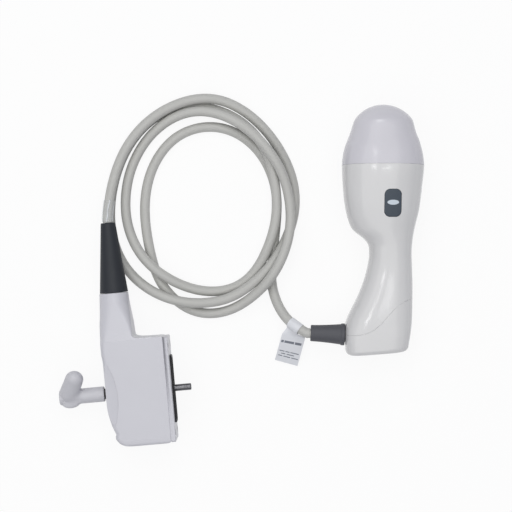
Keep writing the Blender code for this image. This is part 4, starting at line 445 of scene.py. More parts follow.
def smooth_curve(route, count):
    """A curve through the route's points, softened a little and spaced evenly."""
    padded = np.vstack((2 * route[0] - route[1], route, 2 * route[-1] - route[-2]))
    fine = []
    for p0, p1, p2, p3 in zip(padded, padded[1:], padded[2:], padded[3:]):
        for t in np.linspace(0, 1, SPLINE_STEPS, endpoint=False):
            fine.append(0.5 * (
                2 * p1 + (p2 - p0) * t + (2 * p0 - 5 * p1 + 4 * p2 - p3) * t ** 2
                + (3 * p1 - p0 - 3 * p2 + p3) * t ** 3
            ))
    fine.append(route[-1])
    fine = np.array(fine)
    along = distances(fine)
    wanted = np.linspace(0, along[-1], count)
    softened = np.stack([np.interp(wanted, along, fine[:, k]) for k in range(3)], axis=1)
    for _ in range(SOFTEN_ROUNDS):
        softened[3:-3] = (softened[2:-4] + 2 * softened[3:-3] + softened[4:-2]) / 4
    softened[:, 2] = np.maximum(softened[:, 2], CABLE_RADIUS + TABLE_CLEARANCE)
    return softened


def distances(path):
    """Distance of each point of a path from its start, along the path."""
    steps = np.linalg.norm(np.diff(path, axis=0), axis=1)
    return np.concatenate(([0], np.cumsum(steps)))


CABLE_PATH = cable_points(700)

# %% [markdown]
# ## The cable, swept by Geometry Nodes
# A jacket of one diameter follows its route, so the shape is a rule: a circle swept along a
# curve. The tree takes the radius and the number of sides as inputs. It also stores how far
# along the jacket each point lies, which the finish uses for its fine ribs.


# %% Cable
JACKET_SIDES = 24
RIB_PITCH = 1.1 * MM
RIB_STRENGTH = 0.35
RIB_HEIGHT = 0.06 * MM


def paint_and_output(tree, source, made, output):
    """Ends a Geometry Nodes tree: real copies, one material, the group's output."""
    realize = add_node(tree, "GeometryNodeRealizeInstances")
    paint = add_node(tree, "GeometryNodeSetMaterial")
    result = add_node(tree, "NodeGroupOutput")
    wire(tree,
         (made, output, realize, "Geometry"), (realize, "Geometry", paint, "Geometry"),
         (source, "Finish", paint, "Material"), (paint, "Geometry", result, "Geometry"))
    return tree


def make_sweep_tree():
    """Sweeps a circle along an edge path and stores how far along it each point lies."""
    tree = bpy.data.node_groups.new("sweep_jacket", "GeometryNodeTree")
    add_sockets(tree, "INPUT", ("Geometry", "Geometry"), ("Radius", "Float", CABLE_RADIUS),
                ("Sides", "Int", JACKET_SIDES), ("Finish", "Material"))
    add_sockets(tree, "OUTPUT", ("Geometry", "Geometry"))
    source = add_node(tree, "NodeGroupInput")
    curve = add_node(tree, "GeometryNodeMeshToCurve")
    spline = add_node(tree, "GeometryNodeSplineParameter")
    store = add_node(tree, "GeometryNodeStoreNamedAttribute", [("Name", "along")],
                     data_type="FLOAT", domain="POINT")
    circle_curve = add_node(tree, "GeometryNodeCurvePrimitiveCircle")
    sweep = add_node(tree, "GeometryNodeCurveToMesh", [("Fill Caps", True)])
    smooth = add_node(tree, "GeometryNodeSetShadeSmooth")
    wire(tree,
         (source, "Geometry", curve, "Mesh"), (curve, "Curve", store, "Geometry"),
         (spline, "Length", store, "Value"), (source, "Radius", circle_curve, "Radius"),
         (source, "Sides", circle_curve, "Resolution"), (store, "Geometry", sweep, "Curve"),
         (circle_curve, "Curve", sweep, "Profile Curve"), (sweep, "Mesh", smooth, "Geometry"))
    return paint_and_output(tree, source, smooth, "Geometry")


def apply_nodes(piece, tree, values):
    """Runs a Geometry Nodes tree on the piece with these inputs and keeps the plain mesh."""
    modifier = piece.modifiers.new(tree.name, "NODES")
    modifier.node_group = tree
    sockets = {item.name: item.identifier for item in tree.interface.items_tree
               if item.in_out == "INPUT"}
    for name, value in values.items():
        modifier[sockets[name]] = value
    bake(piece)


def jacket_finish():
    """Grey jacket with fine ribs across it, from the distance along the cable."""
    made = FINISHES["cable_grey"]
    tree = made.node_tree
    shader = tree.nodes["Principled BSDF"]
    grain = shader.inputs["Normal"].links[0].from_node
    along = add_node(tree, "ShaderNodeAttribute", attribute_name="along")
    turns = add_node(tree, "ShaderNodeMath", [(1, 2 * math.pi / RIB_PITCH)], operation="MULTIPLY")
    wave = add_node(tree, "ShaderNodeMath", operation="SINE")
    ribs = add_node(tree, "ShaderNodeBump", [("Strength", RIB_STRENGTH), ("Distance", RIB_HEIGHT)])
    wire(tree,
         (along, "Fac", turns, 0), (turns, "Value", wave, 0), (wave, "Value", ribs, "Height"),
         (grain, "Normal", ribs, "Normal"), (ribs, "Normal", shader, "Normal"))
    return made


route_mesh = bpy.data.meshes.new("cable_route")
route_mesh.from_pydata([tuple(p) for p in CABLE_PATH],
                       [(i, i + 1) for i in range(len(CABLE_PATH) - 1)], [])
cable = add_object("cable_jacket", route_mesh)
apply_nodes(cable, make_sweep_tree(),
            {"Radius": CABLE_RADIUS, "Sides": JACKET_SIDES, "Finish": jacket_finish()})
bpy.data.meshes.remove(route_mesh)
dress(cable, "cable_grey", "probe", "cable")
print("cable faces:", len(cable.data.polygons))

# %% [markdown]
# ## Outline of the hand probe
# The probe is long and smooth, so one table describes it: at stations down its axis, the reach
# to the left and to the right, half the depth, and how square the section is. The table is
# read every quarter of a millimetre on a smooth curve and softened a little, which takes out
# the small kinks that glossy plastic would show. Lengths in these cells are millimetres.

# %% Probe outline
DOME_RADIUS = 27.3
DOME_DEPTH_SHARE = 0.93
HEAD_SEAM = 46.9
BASE_END = 193.3
BASE_FILLET = 4.0
BASE_SLANT = 0.079
BASE_SLANT_START = 160.0
SEAM_GAP = 0.07
SEAM_BOW = 1.77
SEAM_LOW = 0.7
EDGE_ROLL = 0.14
DOME_WALL = 2.0
BODY_WALL = 3.1
COLUMNS = 128
SOFT_FROM = 7.0
SOFT_SPAN = 6.0
STATIONS = (
    (12.0, 22.5, 23.0, 20.8, 2.25), (16.0, 23.8, 24.0, 22.0, 2.3),
    (20.0, 25.0, 25.0, 22.9, 2.3), (24.0, 26.4, 26.4, 23.9, 2.35),
    (28.0, 28.0, 28.2, 25.0, 2.35), (32.0, 29.6, 29.3, 26.0, 2.4),
    (37.0, 30.9, 30.6, 27.0, 2.4), (42.0, 31.7, 31.4, 27.6, 2.4),
    (47.0, 32.1, 31.9, 28.0, 2.4), (55.0, 31.9, 31.3, 27.9, 2.4),
    (63.0, 31.4, 30.4, 27.3, 2.4), (74.0, 30.4, 29.2, 26.0, 2.4),
    (83.0, 28.9, 27.9, 24.5, 2.4), (91.5, 26.6, 25.8, 22.7, 2.4),
    (98.7, 22.7, 24.2, 21.0, 2.4), (103.6, 16.0, 23.4, 19.8, 2.4),
    (108.3, 11.8, 22.9, 18.9, 2.4), (115.0, 10.6, 22.5, 18.2, 2.4),
    (127.0, 12.0, 22.9, 18.0, 2.5), (138.0, 14.9, 23.2, 18.6, 2.6),
    (150.0, 19.6, 23.2, 19.6, 2.8), (162.0, 25.4, 23.0, 20.6, 3.0),
    (169.0, 28.5, 22.7, 21.1, 3.2), (179.0, 29.4, 21.6, 21.5, 3.8),
    (194.0, 28.6, 19.2, 21.5, 3.8),
)


def hermite(values, slopes, span, i, t):
    """Cubic curve from value i to the next, with the slopes given at both."""
    return (
        values[i] * (2 * t ** 3 - 3 * t ** 2 + 1) + slopes[i] * span * (t ** 3 - 2 * t ** 2 + t)
        + values[i + 1] * (3 * t ** 2 - 2 * t ** 3) + slopes[i + 1] * span * (t ** 3 - t ** 2)
    )


def probe_table(step=0.25, soft=1.3):
    """Places along the axis and the values there, as two arrays."""
    keys = np.array([row[0] for row in STATIONS])
    values = np.array([row[1:] for row in STATIONS])
    slopes = np.gradient(values, keys, axis=0)
    places = np.arange(0.0, keys[-1], step)
    i = np.clip(np.searchsorted(keys, places) - 1, 0, len(keys) - 2)
    span = (keys[i + 1] - keys[i])[:, None]
    t = np.clip((places - keys[i]) / span[:, 0], 0, 1)[:, None]
    table = hermite(values, slopes, span, i, t)
    cap = np.sqrt(np.maximum(DOME_RADIUS ** 2 - (DOME_RADIUS - places) ** 2, 0))
    edge = math.sqrt(DOME_RADIUS ** 2 - (DOME_RADIUS - keys[0]) ** 2)
    blend = (cap / edge) ** 4
    round_top = np.stack((
        cap + blend * (values[0, 0] - edge), cap + blend * (values[0, 1] - edge),
        cap * DOME_DEPTH_SHARE + blend * (values[0, 2] - edge * DOME_DEPTH_SHARE),
        2 + (values[0, 3] - 2) * places / keys[0],
    ), axis=1)
    table[places < keys[0]] = round_top[places < keys[0]]
    reach = int(4 * soft / step)
    kernel = np.exp(-0.5 * (np.arange(-reach, reach + 1) * step / soft) ** 2)
    kernel /= kernel.sum()
    padded = np.pad(table, ((reach, reach), (0, 0)), mode="edge")
    softened = np.stack([np.convolve(column, kernel, "valid") for column in padded.T], axis=1)
    share = np.clip((places - SOFT_FROM) / SOFT_SPAN, 0, 1)[:, None]
    return places, table * (1 - share) + softened * share


PLACES, TABLE = probe_table()
ANGLES = np.linspace(0, 2 * math.pi, COLUMNS, endpoint=False)


def section(s):
    """Left reach, right reach, half depth and squareness at s."""
    return [np.interp(s, PLACES, column) for column in TABLE.T]


def smooth_share(share):
    """Eases a share between 0 and 1 in and out."""
    return share ** 2 * (3 - 2 * share)


def probe_ring(s, inset=0.0, push=0.0):
    """Ring of the outline at s, moved in by inset and down by push. s may differ by column."""
    s = np.broadcast_to(np.asarray(s, dtype=float), ANGLES.shape)
    left, right, deep, square = section(s)
    left, right, deep = (np.maximum(v - inset, 0.02) for v in (left, right, deep))
    share = np.clip((s - BASE_SLANT_START) / (BASE_END - BASE_FILLET - BASE_SLANT_START), 0, 1)
    slant = BASE_SLANT * smooth_share(share)
    cos, sin = np.cos(ANGLES), np.sin(ANGLES)
    x = (right - left) / 2 + (right + left) / 2 * np.sign(cos) * np.abs(cos) ** (2 / square)
    z = deep * np.sign(sin) * np.abs(sin) ** (2 / square)
    return np.stack((x, -(s + push - slant * x), z), axis=1)


def roll(s, towards, edge=EDGE_ROLL, angles=QUARTER):
    """Rings that round an edge over, from the skin at s inwards. Towards is 1 down the axis."""
    return [probe_ring(s, edge * (1 - math.cos(a)), towards * edge * math.sin(a))
            for a in angles]


def rings_between(start, end, shares, inset=0.0):
    """Rings at shares of the way from one place to another, which may differ by column."""
    return [probe_ring(start + (end - start) * t, inset) for t in shares]


def seam_place(share=1.0):
    """How far down the axis each column's dome seam lies from its mean place."""
    height = probe_ring(HEAD_SEAM)[:, 2] / float(np.interp(HEAD_SEAM, PLACES, TABLE[:, 2]))
    return (SEAM_LOW - SEAM_BOW * height) * share


print("outline stations:", len(PLACES), "columns:", COLUMNS)

# %% [markdown]
# ## The dome
# The acoustic window is a true sphere on top that flows over a shallow waist into the head.
# Its rings are spaced by equal polar angle near the pole, where equal steps down the axis
# would leave a flat top. The seam bows slightly, so the rings near it are drawn along with it.
# The wall is real: the skin rolls in at the seam and comes back up.


# %% Dome
SEAM_PULL_START = 30.0
POLE_STEP = 2
POLE_END = 72
BELOW_POLE = 19.5
BELOW_POLE_STEP = 0.8


def above_seam(s):
    """The ring at s, drawn towards the bowed seam below it."""
    share = min(max((s - SEAM_PULL_START) / (HEAD_SEAM - SEAM_PULL_START), 0.0), 1.0)
    return s + seam_place(share ** 2)


def make_dome():
    """Dome with its wall: down the outside, round the seam's edge and up the inside."""
    edge = HEAD_SEAM - SEAM_GAP / 2 - EDGE_ROLL
    heights = [DOME_RADIUS * (1 - math.cos(math.radians(a)))
               for a in range(POLE_STEP, POLE_END, POLE_STEP)]
    heights += list(np.arange(BELOW_POLE, edge, BELOW_POLE_STEP))
    rows = [[(0.0, 0.0, 0.0)]] + [probe_ring(above_seam(s)) for s in heights]
    rows += roll(above_seam(edge), 1)
    slopes = np.gradient((TABLE[:, 0] + TABLE[:, 1]) / 2, PLACES)
    for s in [HEAD_SEAM - SEAM_GAP / 2] + heights[::-3]:
        slope = float(np.interp(s, PLACES, slopes))
        length = math.hypot(1, slope)
        rows.append(probe_ring(above_seam(s), DOME_WALL / length, DOME_WALL * slope / length))
    rows.append([(0.0, -DOME_WALL, 0.0)])
    return new_piece("dome_skin", loft(rows), PROBE_MM)


dome = dress(make_dome(), "dome_plastic", "probe", "dome_cap")
print("dome faces:", len(dome.data.polygons))

# %% [markdown]
# ## Grip and base
# Seen from above, the grip meets the base along one S-shaped line. Each column of the skin
# therefore ends at its own place on that line, found by a few steps of a fixed-point search,
# and the rows between are spread evenly. Both edges roll in, so the split reads as a fine
# dark line with a soft lip, as on moulded halves.

# %% Grip and base
SPLIT_MIDDLE = 164.5
SPLIT_RISE = 15.0
SPLIT_CENTRE_X = 2.3
SPLIT_SPREAD = 13.0
SPLIT_ROUNDS = 60
SPLIT_PULL = 0.6
GRIP_ROWS = 150
BASE_ROWS = 50
INNER_BASE_ROWS = 20


def split_place(offset):
    """Place of the split on each column, moved down the axis by offset."""
    s = np.full(COLUMNS, SPLIT_MIDDLE)
    for _ in range(SPLIT_ROUNDS):
        x, y, _ = probe_ring(s).T
        wanted = SPLIT_MIDDLE - SPLIT_RISE * np.tanh((x - SPLIT_CENTRE_X) / SPLIT_SPREAD) + offset
        s = s + SPLIT_PULL * (wanted + y)
    return s


def make_grip():
    """Open shell between the seam and the split, with a wall."""
    end = split_place(-SEAM_GAP / 2 - EDGE_ROLL)
    start = HEAD_SEAM + SEAM_GAP / 2 + EDGE_ROLL + seam_place()
    rows = roll(start, -1)[::-1]
    rows += rings_between(start, end, np.linspace(0, 1, GRIP_ROWS)[1:-1])
    rows += roll(end, 1)
    rows += rings_between(start, end, np.linspace(1, 0, BASE_ROWS), BODY_WALL)
    return new_piece("grip_skin", loft(rows, ring=True), PROBE_MM)


def make_base():
    """Cup below the split, with a round bottom edge and a wall."""
    start = split_place(SEAM_GAP / 2 + EDGE_ROLL)
    stop = np.full(COLUMNS, BASE_END - BASE_FILLET)
    rows = roll(start, -1)[::-1]
    rows += rings_between(start, stop, np.linspace(0, 1, BASE_ROWS)[1:])
    rows += roll(stop, 1, BASE_FILLET, [math.radians(degrees) for degrees in range(10, 91, 10)])
    middle = rows[-1].mean(axis=0)
    rows += [middle + (rows[-1] - middle) * share for share in (0.75, 0.4, 0.1)]
    rows.append([tuple(middle)])
    floor = stop - BODY_WALL + BASE_FILLET
    inner = rings_between(start, floor, np.linspace(0, 1, INNER_BASE_ROWS), BODY_WALL)
    middle = inner[-1].mean(axis=0)
    inner += [middle + (inner[-1] - middle) * 0.5, [tuple(middle)]]
    return new_piece("base_skin", loft(inner[::-1] + rows), PROBE_MM)


grip = dress(make_grip(), "body_plastic", "probe", "body_shell")
base = dress(make_base(), "body_plastic", "probe", "base_shell")
print("grip and base faces:", len(grip.data.polygons), len(base.data.polygons))

# %% [markdown]
# ## Holes in the grip
# The button comes up through a hole that follows its outline, and the strain relief passes
# through the base's left side. Both holes are cut with a Boolean. It leaves many-sided faces
# at the rim, and glossy plastic would show them as dents, so the shading normals are copied
# back from the skin as it was before the cut.


# %% Holes
BUTTON_X = 5.75
BUTTON_S = 76.2
BUTTON_HALF = (6.6, 10.7)
BUTTON_CORNER = 4.4
BUTTON_HEIGHT = 3.4
BUTTON_PROUD = 0.2
HOLE_GAP = 0.14
HOLE_SPAN = (12.0, 8.0)
RELIEF_NECK = 5.4
NECK_GAP = 0.3
NECK_SPAN = (-9.0, 4.0)
NORMALS_REACH = 0.02 * MM


def cut_smoothly(piece, cutter):
    """Cuts a hole and keeps the shading that the skin had before."""
    before = add_object("before_cut", piece.data.copy())
    cut(piece, cutter)
    transfer = piece.modifiers.new("normals", "DATA_TRANSFER")
    transfer.object = before
    transfer.use_loop_data = True
    transfer.data_types_loops = {"CUSTOM_NORMAL"}
    transfer.loop_mapping = "POLYINTERP_NEAREST"
    transfer.use_max_distance = True
    transfer.max_distance = NORMALS_REACH
    bake(piece)
    bpy.data.objects.remove(before, do_unlink=True)


def carve(piece, bm, matrix):
    """Cuts the shape of a bmesh out of a piece and keeps the piece's shading."""
    cut_smoothly(piece, new_piece("cutter", bm, matrix))


def button_outline(grow):
    """The button's outline on the grip, grown on all sides."""
    return rounded_rectangle(
        BUTTON_HALF[0] + grow, BUTTON_HALF[1] + grow, BUTTON_CORNER + grow, (BUTTON_X, -BUTTON_S),
    )


def surface_depth(x, y):
    """Depth of the probe's skin above its axis."""
    left, right, deep, square = section(-y)
    centre, half = (right - left) / 2, (right + left) / 2
    share = min(abs((x - centre) / half), 1.0)
    return deep * (1 - share ** square) ** (1 / square)


button_top = surface_depth(BUTTON_X, -BUTTON_S)
hole_rows = [[(x, y, z) for x, y in button_outline(HOLE_GAP)]
             for z in (HOLE_SPAN[0], button_top + HOLE_SPAN[1])]
carve(grip, loft(hole_rows), PROBE_MM)
for skin in (grip, base):
    neck = rod((RELIEF_NECK + NECK_GAP) * MM, NECK_SPAN[0] * MM, NECK_SPAN[1] * MM)
    carve(skin, neck, GRIP_RELIEF)
print("faces with holes:", len(grip.data.polygons), len(base.data.polygons))

# %% [markdown]
# ## The button
# A soft dark cap follows the grip's own curve and stands just proud of it, with a small round
# on its edge. Rings of the same outline, each a little smaller, give it that shape: their
# height is read from the probe's skin, so the cap needs no fitting. The mark on it is plain:
# one pale ellipse, printed as a thin film.


# %% Button
BUTTON_FILLET = 0.7
MARK_HALF = (4.5, 1.9)
MARK_MIDDLE = (BUTTON_X + 0.1, -BUTTON_S + 0.5)
MARK_THICK = 0.05
MARK_SIDES = 40


def on_cap(points, lift=0.0):
    """Points of the plane, laid on the button's top and lifted."""
    return [(x, y, surface_depth(x, y) + BUTTON_PROUD + lift) for x, y in points]


def make_button():
    """Cap of shrinking outlines on top, a round edge and a straight side down to its foot."""
    middle = (BUTTON_X, -BUTTON_S)
    rows = [on_cap([middle])]
    for share in (0.2, 0.4, 0.6, 0.8, 0.93):
        rows.append(on_cap([
            (middle[0] + (x - middle[0]) * share, middle[1] + (y - middle[1]) * share)
            for x, y in button_outline(-BUTTON_FILLET)
        ]))
    for degrees in range(0, 91, 18):
        angle = math.radians(degrees)
        inset = BUTTON_FILLET * (1 - math.sin(angle))
        rows.append(on_cap(button_outline(-inset), -BUTTON_FILLET * (1 - math.cos(angle))))
    low = button_top - BUTTON_HEIGHT
    rows.append([(x, y, low) for x, y, _ in rows[-1]])
    rows.append([(*middle, low)])
    return new_piece("button_cap_soft", loft(rows), PROBE_MM)


def make_mark():
    """Flat pale ellipse on the cap."""
    rows = []
    for share, lift in ((0.0, 1), (0.4, 1), (0.8, 1), (1.0, 0.6), (1.0, -1.0), (0.0, -1.0)):
        ring = circle(share, sides=MARK_SIDES if share else 1)
        rows.append(on_cap([
            (MARK_MIDDLE[0] + MARK_HALF[0] * x, MARK_MIDDLE[1] + MARK_HALF[1] * y)
            for x, y, _ in ring
        ], MARK_THICK * lift))
    return new_piece("button_mark", loft(rows), PROBE_MM)


button = dress(make_button(), "button_rubber", "button", "button_cap")
dress(make_mark(), "button_rubber", "button", material="mark_print")
print("button faces:", len(button.data.polygons))

# %% [markdown]
# ## Strain reliefs
# Both ends of the cable run through a soft moulded sleeve that stops it bending sharply. They
# are plain turned shapes: a profile spun about the line on which the cable leaves. The one on
# the probe flares in a slight curve to a straight band, the one on the connector is a long
# straight cone. Behind each, a groove and a flange hold it in its shell.


# %% Strain reliefs
GRIP_TIP = 6.4
GRIP_FLARE_END = 8.35
GRIP_FLARE_BEND = 1.6
GRIP_TIP_EDGE = 0.5
GRIP_BAND = [(8.45, 2.6), (8.6, 2.4)]
GRIP_ROOT = [(5.4, 0.0), (5.4, -4.4), (7.2, -4.4), (7.2, -6.4), (0, -6.4)]
PLUG_TIP = 5.75
PLUG_MOUTH = 11.1
PLUG_TIP_EDGE = 0.6
PLUG_ROOT = [(6.6, 0.0), (6.6, -3.5), (8.1, -3.5), (8.1, -6.0), (0, -6.0)]
MOUTH_EDGE = 0.3
RELIEF_SIDES = 96


def rounded_end(radius, height, edge, outward):
    """Four points that round the edge between a flat end and the side."""
    return [(radius - edge * (1 - math.sin(a)), height - outward * edge * (1 - math.cos(a)))
            for a in QUARTER]


def make_relief(name, place, length, tips, bend, shares, band, root):
    """Sleeve in millimetres: a round tip, a side that widens, a band, a mouth and a root."""
    tip, wide, edge = tips
    profile = [(0, length)] + rounded_end(tip, length, edge, 1)
    profile += [(tip + (wide - tip) * (1 - share) ** bend, length * share) for share in shares]
    mouth = band[-1][0] if band else wide
    profile += band + rounded_end(mouth, 0.0, MOUTH_EDGE, -1)[::-1] + root
    sleeve = turned([(r * MM, h * MM) for r, h in profile], RELIEF_SIDES)
    return new_piece(name, sleeve, place, sharp=50.0)


probe_sleeve = make_relief(
    "probe_relief_sleeve", GRIP_RELIEF, GRIP_RELIEF_LENGTH / MM,
    (GRIP_TIP, GRIP_FLARE_END, GRIP_TIP_EDGE), GRIP_FLARE_BEND,
    np.linspace(0.94, 0.12, 18), GRIP_BAND, GRIP_ROOT,
)
plug_sleeve = make_relief(
    "connector_relief_sleeve", PLUG_RELIEF, PLUG_RELIEF_LENGTH / MM,
    (PLUG_TIP, PLUG_MOUTH, PLUG_TIP_EDGE), 1, np.linspace(0.96, 0.04, 30), [], PLUG_ROOT,
)
dress(probe_sleeve, "relief_grey", "probe", "probe_relief")
dress(plug_sleeve, "relief_dark", "probe", "connector_relief", on_cord=True)
print("relief faces:", len(probe_sleeve.data.polygons), len(plug_sleeve.data.polygons))

# %% [markdown]
# ## Connector housing
# The housing is a box moulded in one piece with the neck that takes the cable. One table of
# stations up its length gives the reach to both sides, half the depth and the corner radius. A
# curve that never overshoots its points joins them, so the tight corner under the neck stays
# crisp and the long sides stay straight.


# %% Housing outline
HOUSING_ROWS = (
    (-41.3, -37.3, -9.0, 15.5, 3.0), (-40.7, -40.8, -6.2, 17.8, 3.5),
    (-39.0, -44.6, -5.2, 18.7, 4.0), (-36.2, -47.1, -5.2, 19.0, 4.0),
    (-34.4, -48.1, -5.2, 19.0, 4.0), (-32.9, -48.2, -5.2, 19.0, 4.0),
    (-31.1, -47.6, -5.2, 19.0, 4.0), (-29.5, -48.2, -5.2, 19.0, 4.0),
    (-22.0, -50.8, -5.2, 19.0, 4.0),
    (-8.2, -53.0, -5.2, 19.0, 4.0), (17.3, -53.1, -5.2, 19.0, 4.0),
    (26.3, -53.3, -5.2, 19.0, 4.0), (31.8, -54.0, -5.2, 19.0, 4.2),
    (39.4, -54.1, -5.2, 19.0, 4.6), (41.2, -54.0, -5.2, 19.0, 4.8),
    (41.8, -54.0, -6.0, 18.9, 4.9), (42.3, -53.9, -22.6, 18.8, 5.0),
    (42.8, -53.9, -25.4, 18.75, 5.1), (43.5, -53.9, -27.3, 18.65, 5.3),
    (44.6, -53.9, -28.3, 18.5, 5.6), (46.5, -53.9, -28.5, 18.3, 6.0),
    (52.5, -53.9, -28.6, 17.0, 7.5), (62.5, -53.3, -29.2, 14.8, 9.5),
    (72.5, -52.9, -29.8, 12.8, 10.6), (78.6, -52.6, -30.1, 11.9, 10.8),
)
HOUSING_TOP = HOUSING_ROWS[-1][0]
HOUSING_HALF_DEPTH = 19.0
HOUSING_LEFT = -53.0
HOUSING_WALL = 2.6
HOUSING_FRONT = -5.2
HOUSING_ROOM_FRONT = 6.0
HOUSING_EDGE = 0.45
HOUSING_ROLL = 0.5
SMALLEST_CORNER = 0.6
CORNER_POINTS = 9
NECK_START = 41.0
NECK_LENGTH = 30.0
FRAME_TOP = 41.5
FRAME_BOTTOM = -40.4
FRAME_MIDDLE = (FRAME_TOP + FRAME_BOTTOM) / 2


def monotone(keys, values, places):
    """Curve through the values that rises and falls only where they do."""
    steps = np.diff(keys)
    slopes = np.diff(values) / steps
    ends = np.zeros(len(keys))
    ends[0], ends[-1] = slopes[0], slopes[-1]
    for k in range(1, len(keys) - 1):
        if slopes[k - 1] * slopes[k] > 0:
            a, b = 2 * steps[k] + steps[k - 1], steps[k] + 2 * steps[k - 1]
            ends[k] = (a + b) / (a / slopes[k - 1] + b / slopes[k])
    i = np.clip(np.searchsorted(keys, places, side="right") - 1, 0, len(keys) - 2)
    t = (places - keys[i]) / steps[i]
    return hermite(values, ends, steps[i], i, t)


HOUSING_KEYS = np.array([row[0] for row in HOUSING_ROWS])
HOUSING_VALUES = np.array([row[1:] for row in HOUSING_ROWS])


def housing_ring(y, inset=0.0, front=None, at=None):
    """Ring of the housing at y: round corners on the left, small ones on the front."""
    left, right, deep, corner = (
        float(monotone(HOUSING_KEYS, column, np.array([y]))[0]) for column in HOUSING_VALUES.T
    )
    left, deep, corner = left + inset, deep - inset, max(corner - inset, SMALLEST_CORNER)
    right = front if front is not None else right - inset
    share = min(max((y - NECK_START) / NECK_LENGTH, 0), 1)
    near = HOUSING_EDGE + (corner - HOUSING_EDGE) * share
    limit = min(deep * 0.98, (right - left) * 0.49)
    corner, near = min(corner, limit), min(near, limit)
    ring = []
    for cx, cz, radius, start in (
        (right - near, deep - near, near, 0), (left + corner, deep - corner, corner, 90),
        (left + corner, corner - deep, corner, 180), (right - near, near - deep, near, 270),
    ):
        for degrees in np.linspace(start, start + 90, CORNER_POINTS):
            angle = math.radians(degrees)
            ring.append(np.array((cx + radius * math.cos(angle), y if at is None else at,
                                  cz + radius * math.sin(angle))))
    full = []
    sides = np.linspace(0, 1, 9)[1:-1]
    for k, point in enumerate(ring):
        full.append(point)
        if k % CORNER_POINTS == CORNER_POINTS - 1:
            after = ring[(k + 1) % len(ring)]
            full += [point + (after - point) * share for share in sides]
    return full


print("housing stations:", len(HOUSING_ROWS))

# %% [markdown]
# ## Housing skin
# The dish beside the lever is a large ball sunk into each wide face. A Boolean cuts it, and its
# shading is set one by one: on the dish every normal points at the ball's centre, elsewhere it is
# the one that the skin had before, so the crease between them is a clean fine line. A shallow
# groove runs round the rim of each dish. Inside, the housing is hollow, with a wall of its own
# under each dish.


# %% Housing skin
SCOOP_RIM = 60.56
SCOOP_DROP = 165.0
SCOOP_LINE = 0.3
SCOOP_RADIUS = math.hypot(SCOOP_RIM, SCOOP_DROP)
SCOOP_EDGE_X = -43.6
SCOOP_CENTRE = (SCOOP_EDGE_X - SCOOP_RIM, -3.0)
SCOOP_SPAN = (42.0, 72.0, 40)
SCOOP_SIDES = 240
LINE_SIDES = 480
LINE_ABOVE = 0.5
BALL_TOLERANCE = 0.05 * MM
HOUSING_SPANS = (
    (-41.3, -39.0, 8), (-38.5, 41.0, 90), (41.1, 46.5, 34), (47.0, HOUSING_TOP - HOUSING_ROLL, 40),
)
ROOM_SPAN = (-38.2, 38.6, 20)
NECK_ROOM_SPAN = (46.0, 76.0, 12)
NECK_ROOM_FOOT = 36.1
GLAND_RADIUS = 6.9
GLAND_SPAN = (-12.0, 2.0)
BUSH_RADIUS = 5.5
BUSH_SPAN = (-8.0, 5.0)


def scoop_cap(side, grow=0.0):
    """The low part of the ball that dips into the housing, closed by a flat top."""
    radius = SCOOP_RADIUS + grow
    high = side * (HOUSING_HALF_DEPTH + SCOOP_DROP)
    rows = [[(*SCOOP_CENTRE, high - side * radius)]]
    for flat in np.linspace(*SCOOP_SPAN):
        low = high - side * math.sqrt(radius ** 2 - flat ** 2)
        rows.append(circle(flat, low, SCOOP_SIDES, SCOOP_CENTRE))
    return loft(rows)


def scoop_line(side):
    """Fine V-shaped ring that marks the rim of the dish."""
    v_shape = ((-SCOOP_LINE, -LINE_ABOVE), (0.0, SCOOP_LINE), (SCOOP_LINE, -LINE_ABOVE))
    return loft([
        circle(SCOOP_RIM + flat, side * (HOUSING_HALF_DEPTH - deep), LINE_SIDES, SCOOP_CENTRE)
        for flat, deep in v_shape
    ], ring=True)


def ball_shading(piece):
    """Sets the normals of the dish faces towards the centres of the two balls."""
    mesh = piece.data
    normals = [Vector(corner.vector) for corner in mesh.corner_normals]
    centres = [PLUG_MM @ Vector((*SCOOP_CENTRE, side * (HOUSING_HALF_DEPTH + SCOOP_DROP)))
               for side in (-1, 1)]
    for face in mesh.polygons:
        for centre in centres:
            towards = centre - face.center
            on_ball = abs(towards.length - SCOOP_RADIUS * MM) < BALL_TOLERANCE
            if on_ball and face.normal.dot(towards) > 0.99 * towards.length:
                for corner in face.loop_indices:
                    point = mesh.vertices[mesh.loops[corner].vertex_index].co
                    normals[corner] = (centre - point).normalized()
    mesh.normals_split_custom_set([tuple(n) for n in normals])


def make_housing():
    """Outer skin, two dishes with their rims, the room inside and the holes into it."""
    rows = [housing_ring(y) for span in HOUSING_SPANS for y in np.linspace(*span)]
    for angle in QUARTER[1:]:
        rows.append(housing_ring(
            HOUSING_TOP, HOUSING_ROLL * (1 - math.cos(angle)),
            at=HOUSING_TOP - HOUSING_ROLL * (1 - math.sin(angle)),
        ))
    housing = new_piece("housing_skin", loft(rows), PLUG_MM, sharp=50.0)
    room = new_piece("room", loft([
        housing_ring(y, HOUSING_WALL, HOUSING_ROOM_FRONT) for y in np.linspace(*ROOM_SPAN)
    ]), PLUG_MM)
    for side in (-1, 1):
        cut(room, new_piece("scoop_wall", scoop_cap(side, HOUSING_WALL), PLUG_MM))
        carve(housing, scoop_cap(side), PLUG_MM)
        carve(housing, scoop_line(side), PLUG_MM)
    cut_smoothly(housing, room)
    neck = [housing_ring(NECK_ROOM_SPAN[0], HOUSING_WALL, at=NECK_ROOM_FOOT)]
    neck += [housing_ring(y, HOUSING_WALL) for y in np.linspace(*NECK_ROOM_SPAN)]
    carve(housing, loft(neck), PLUG_MM)
    carve(housing, rod(GLAND_RADIUS, *GLAND_SPAN), PLUG_RELIEF @ TO_METRES)
    beside = PLUG_MM @ Matrix.Translation((HOUSING_LEFT, 0, 0)) @ QUARTER_TURN
    carve(housing, rod(BUSH_RADIUS, *BUSH_SPAN), beside)
    ball_shading(housing)
    return housing


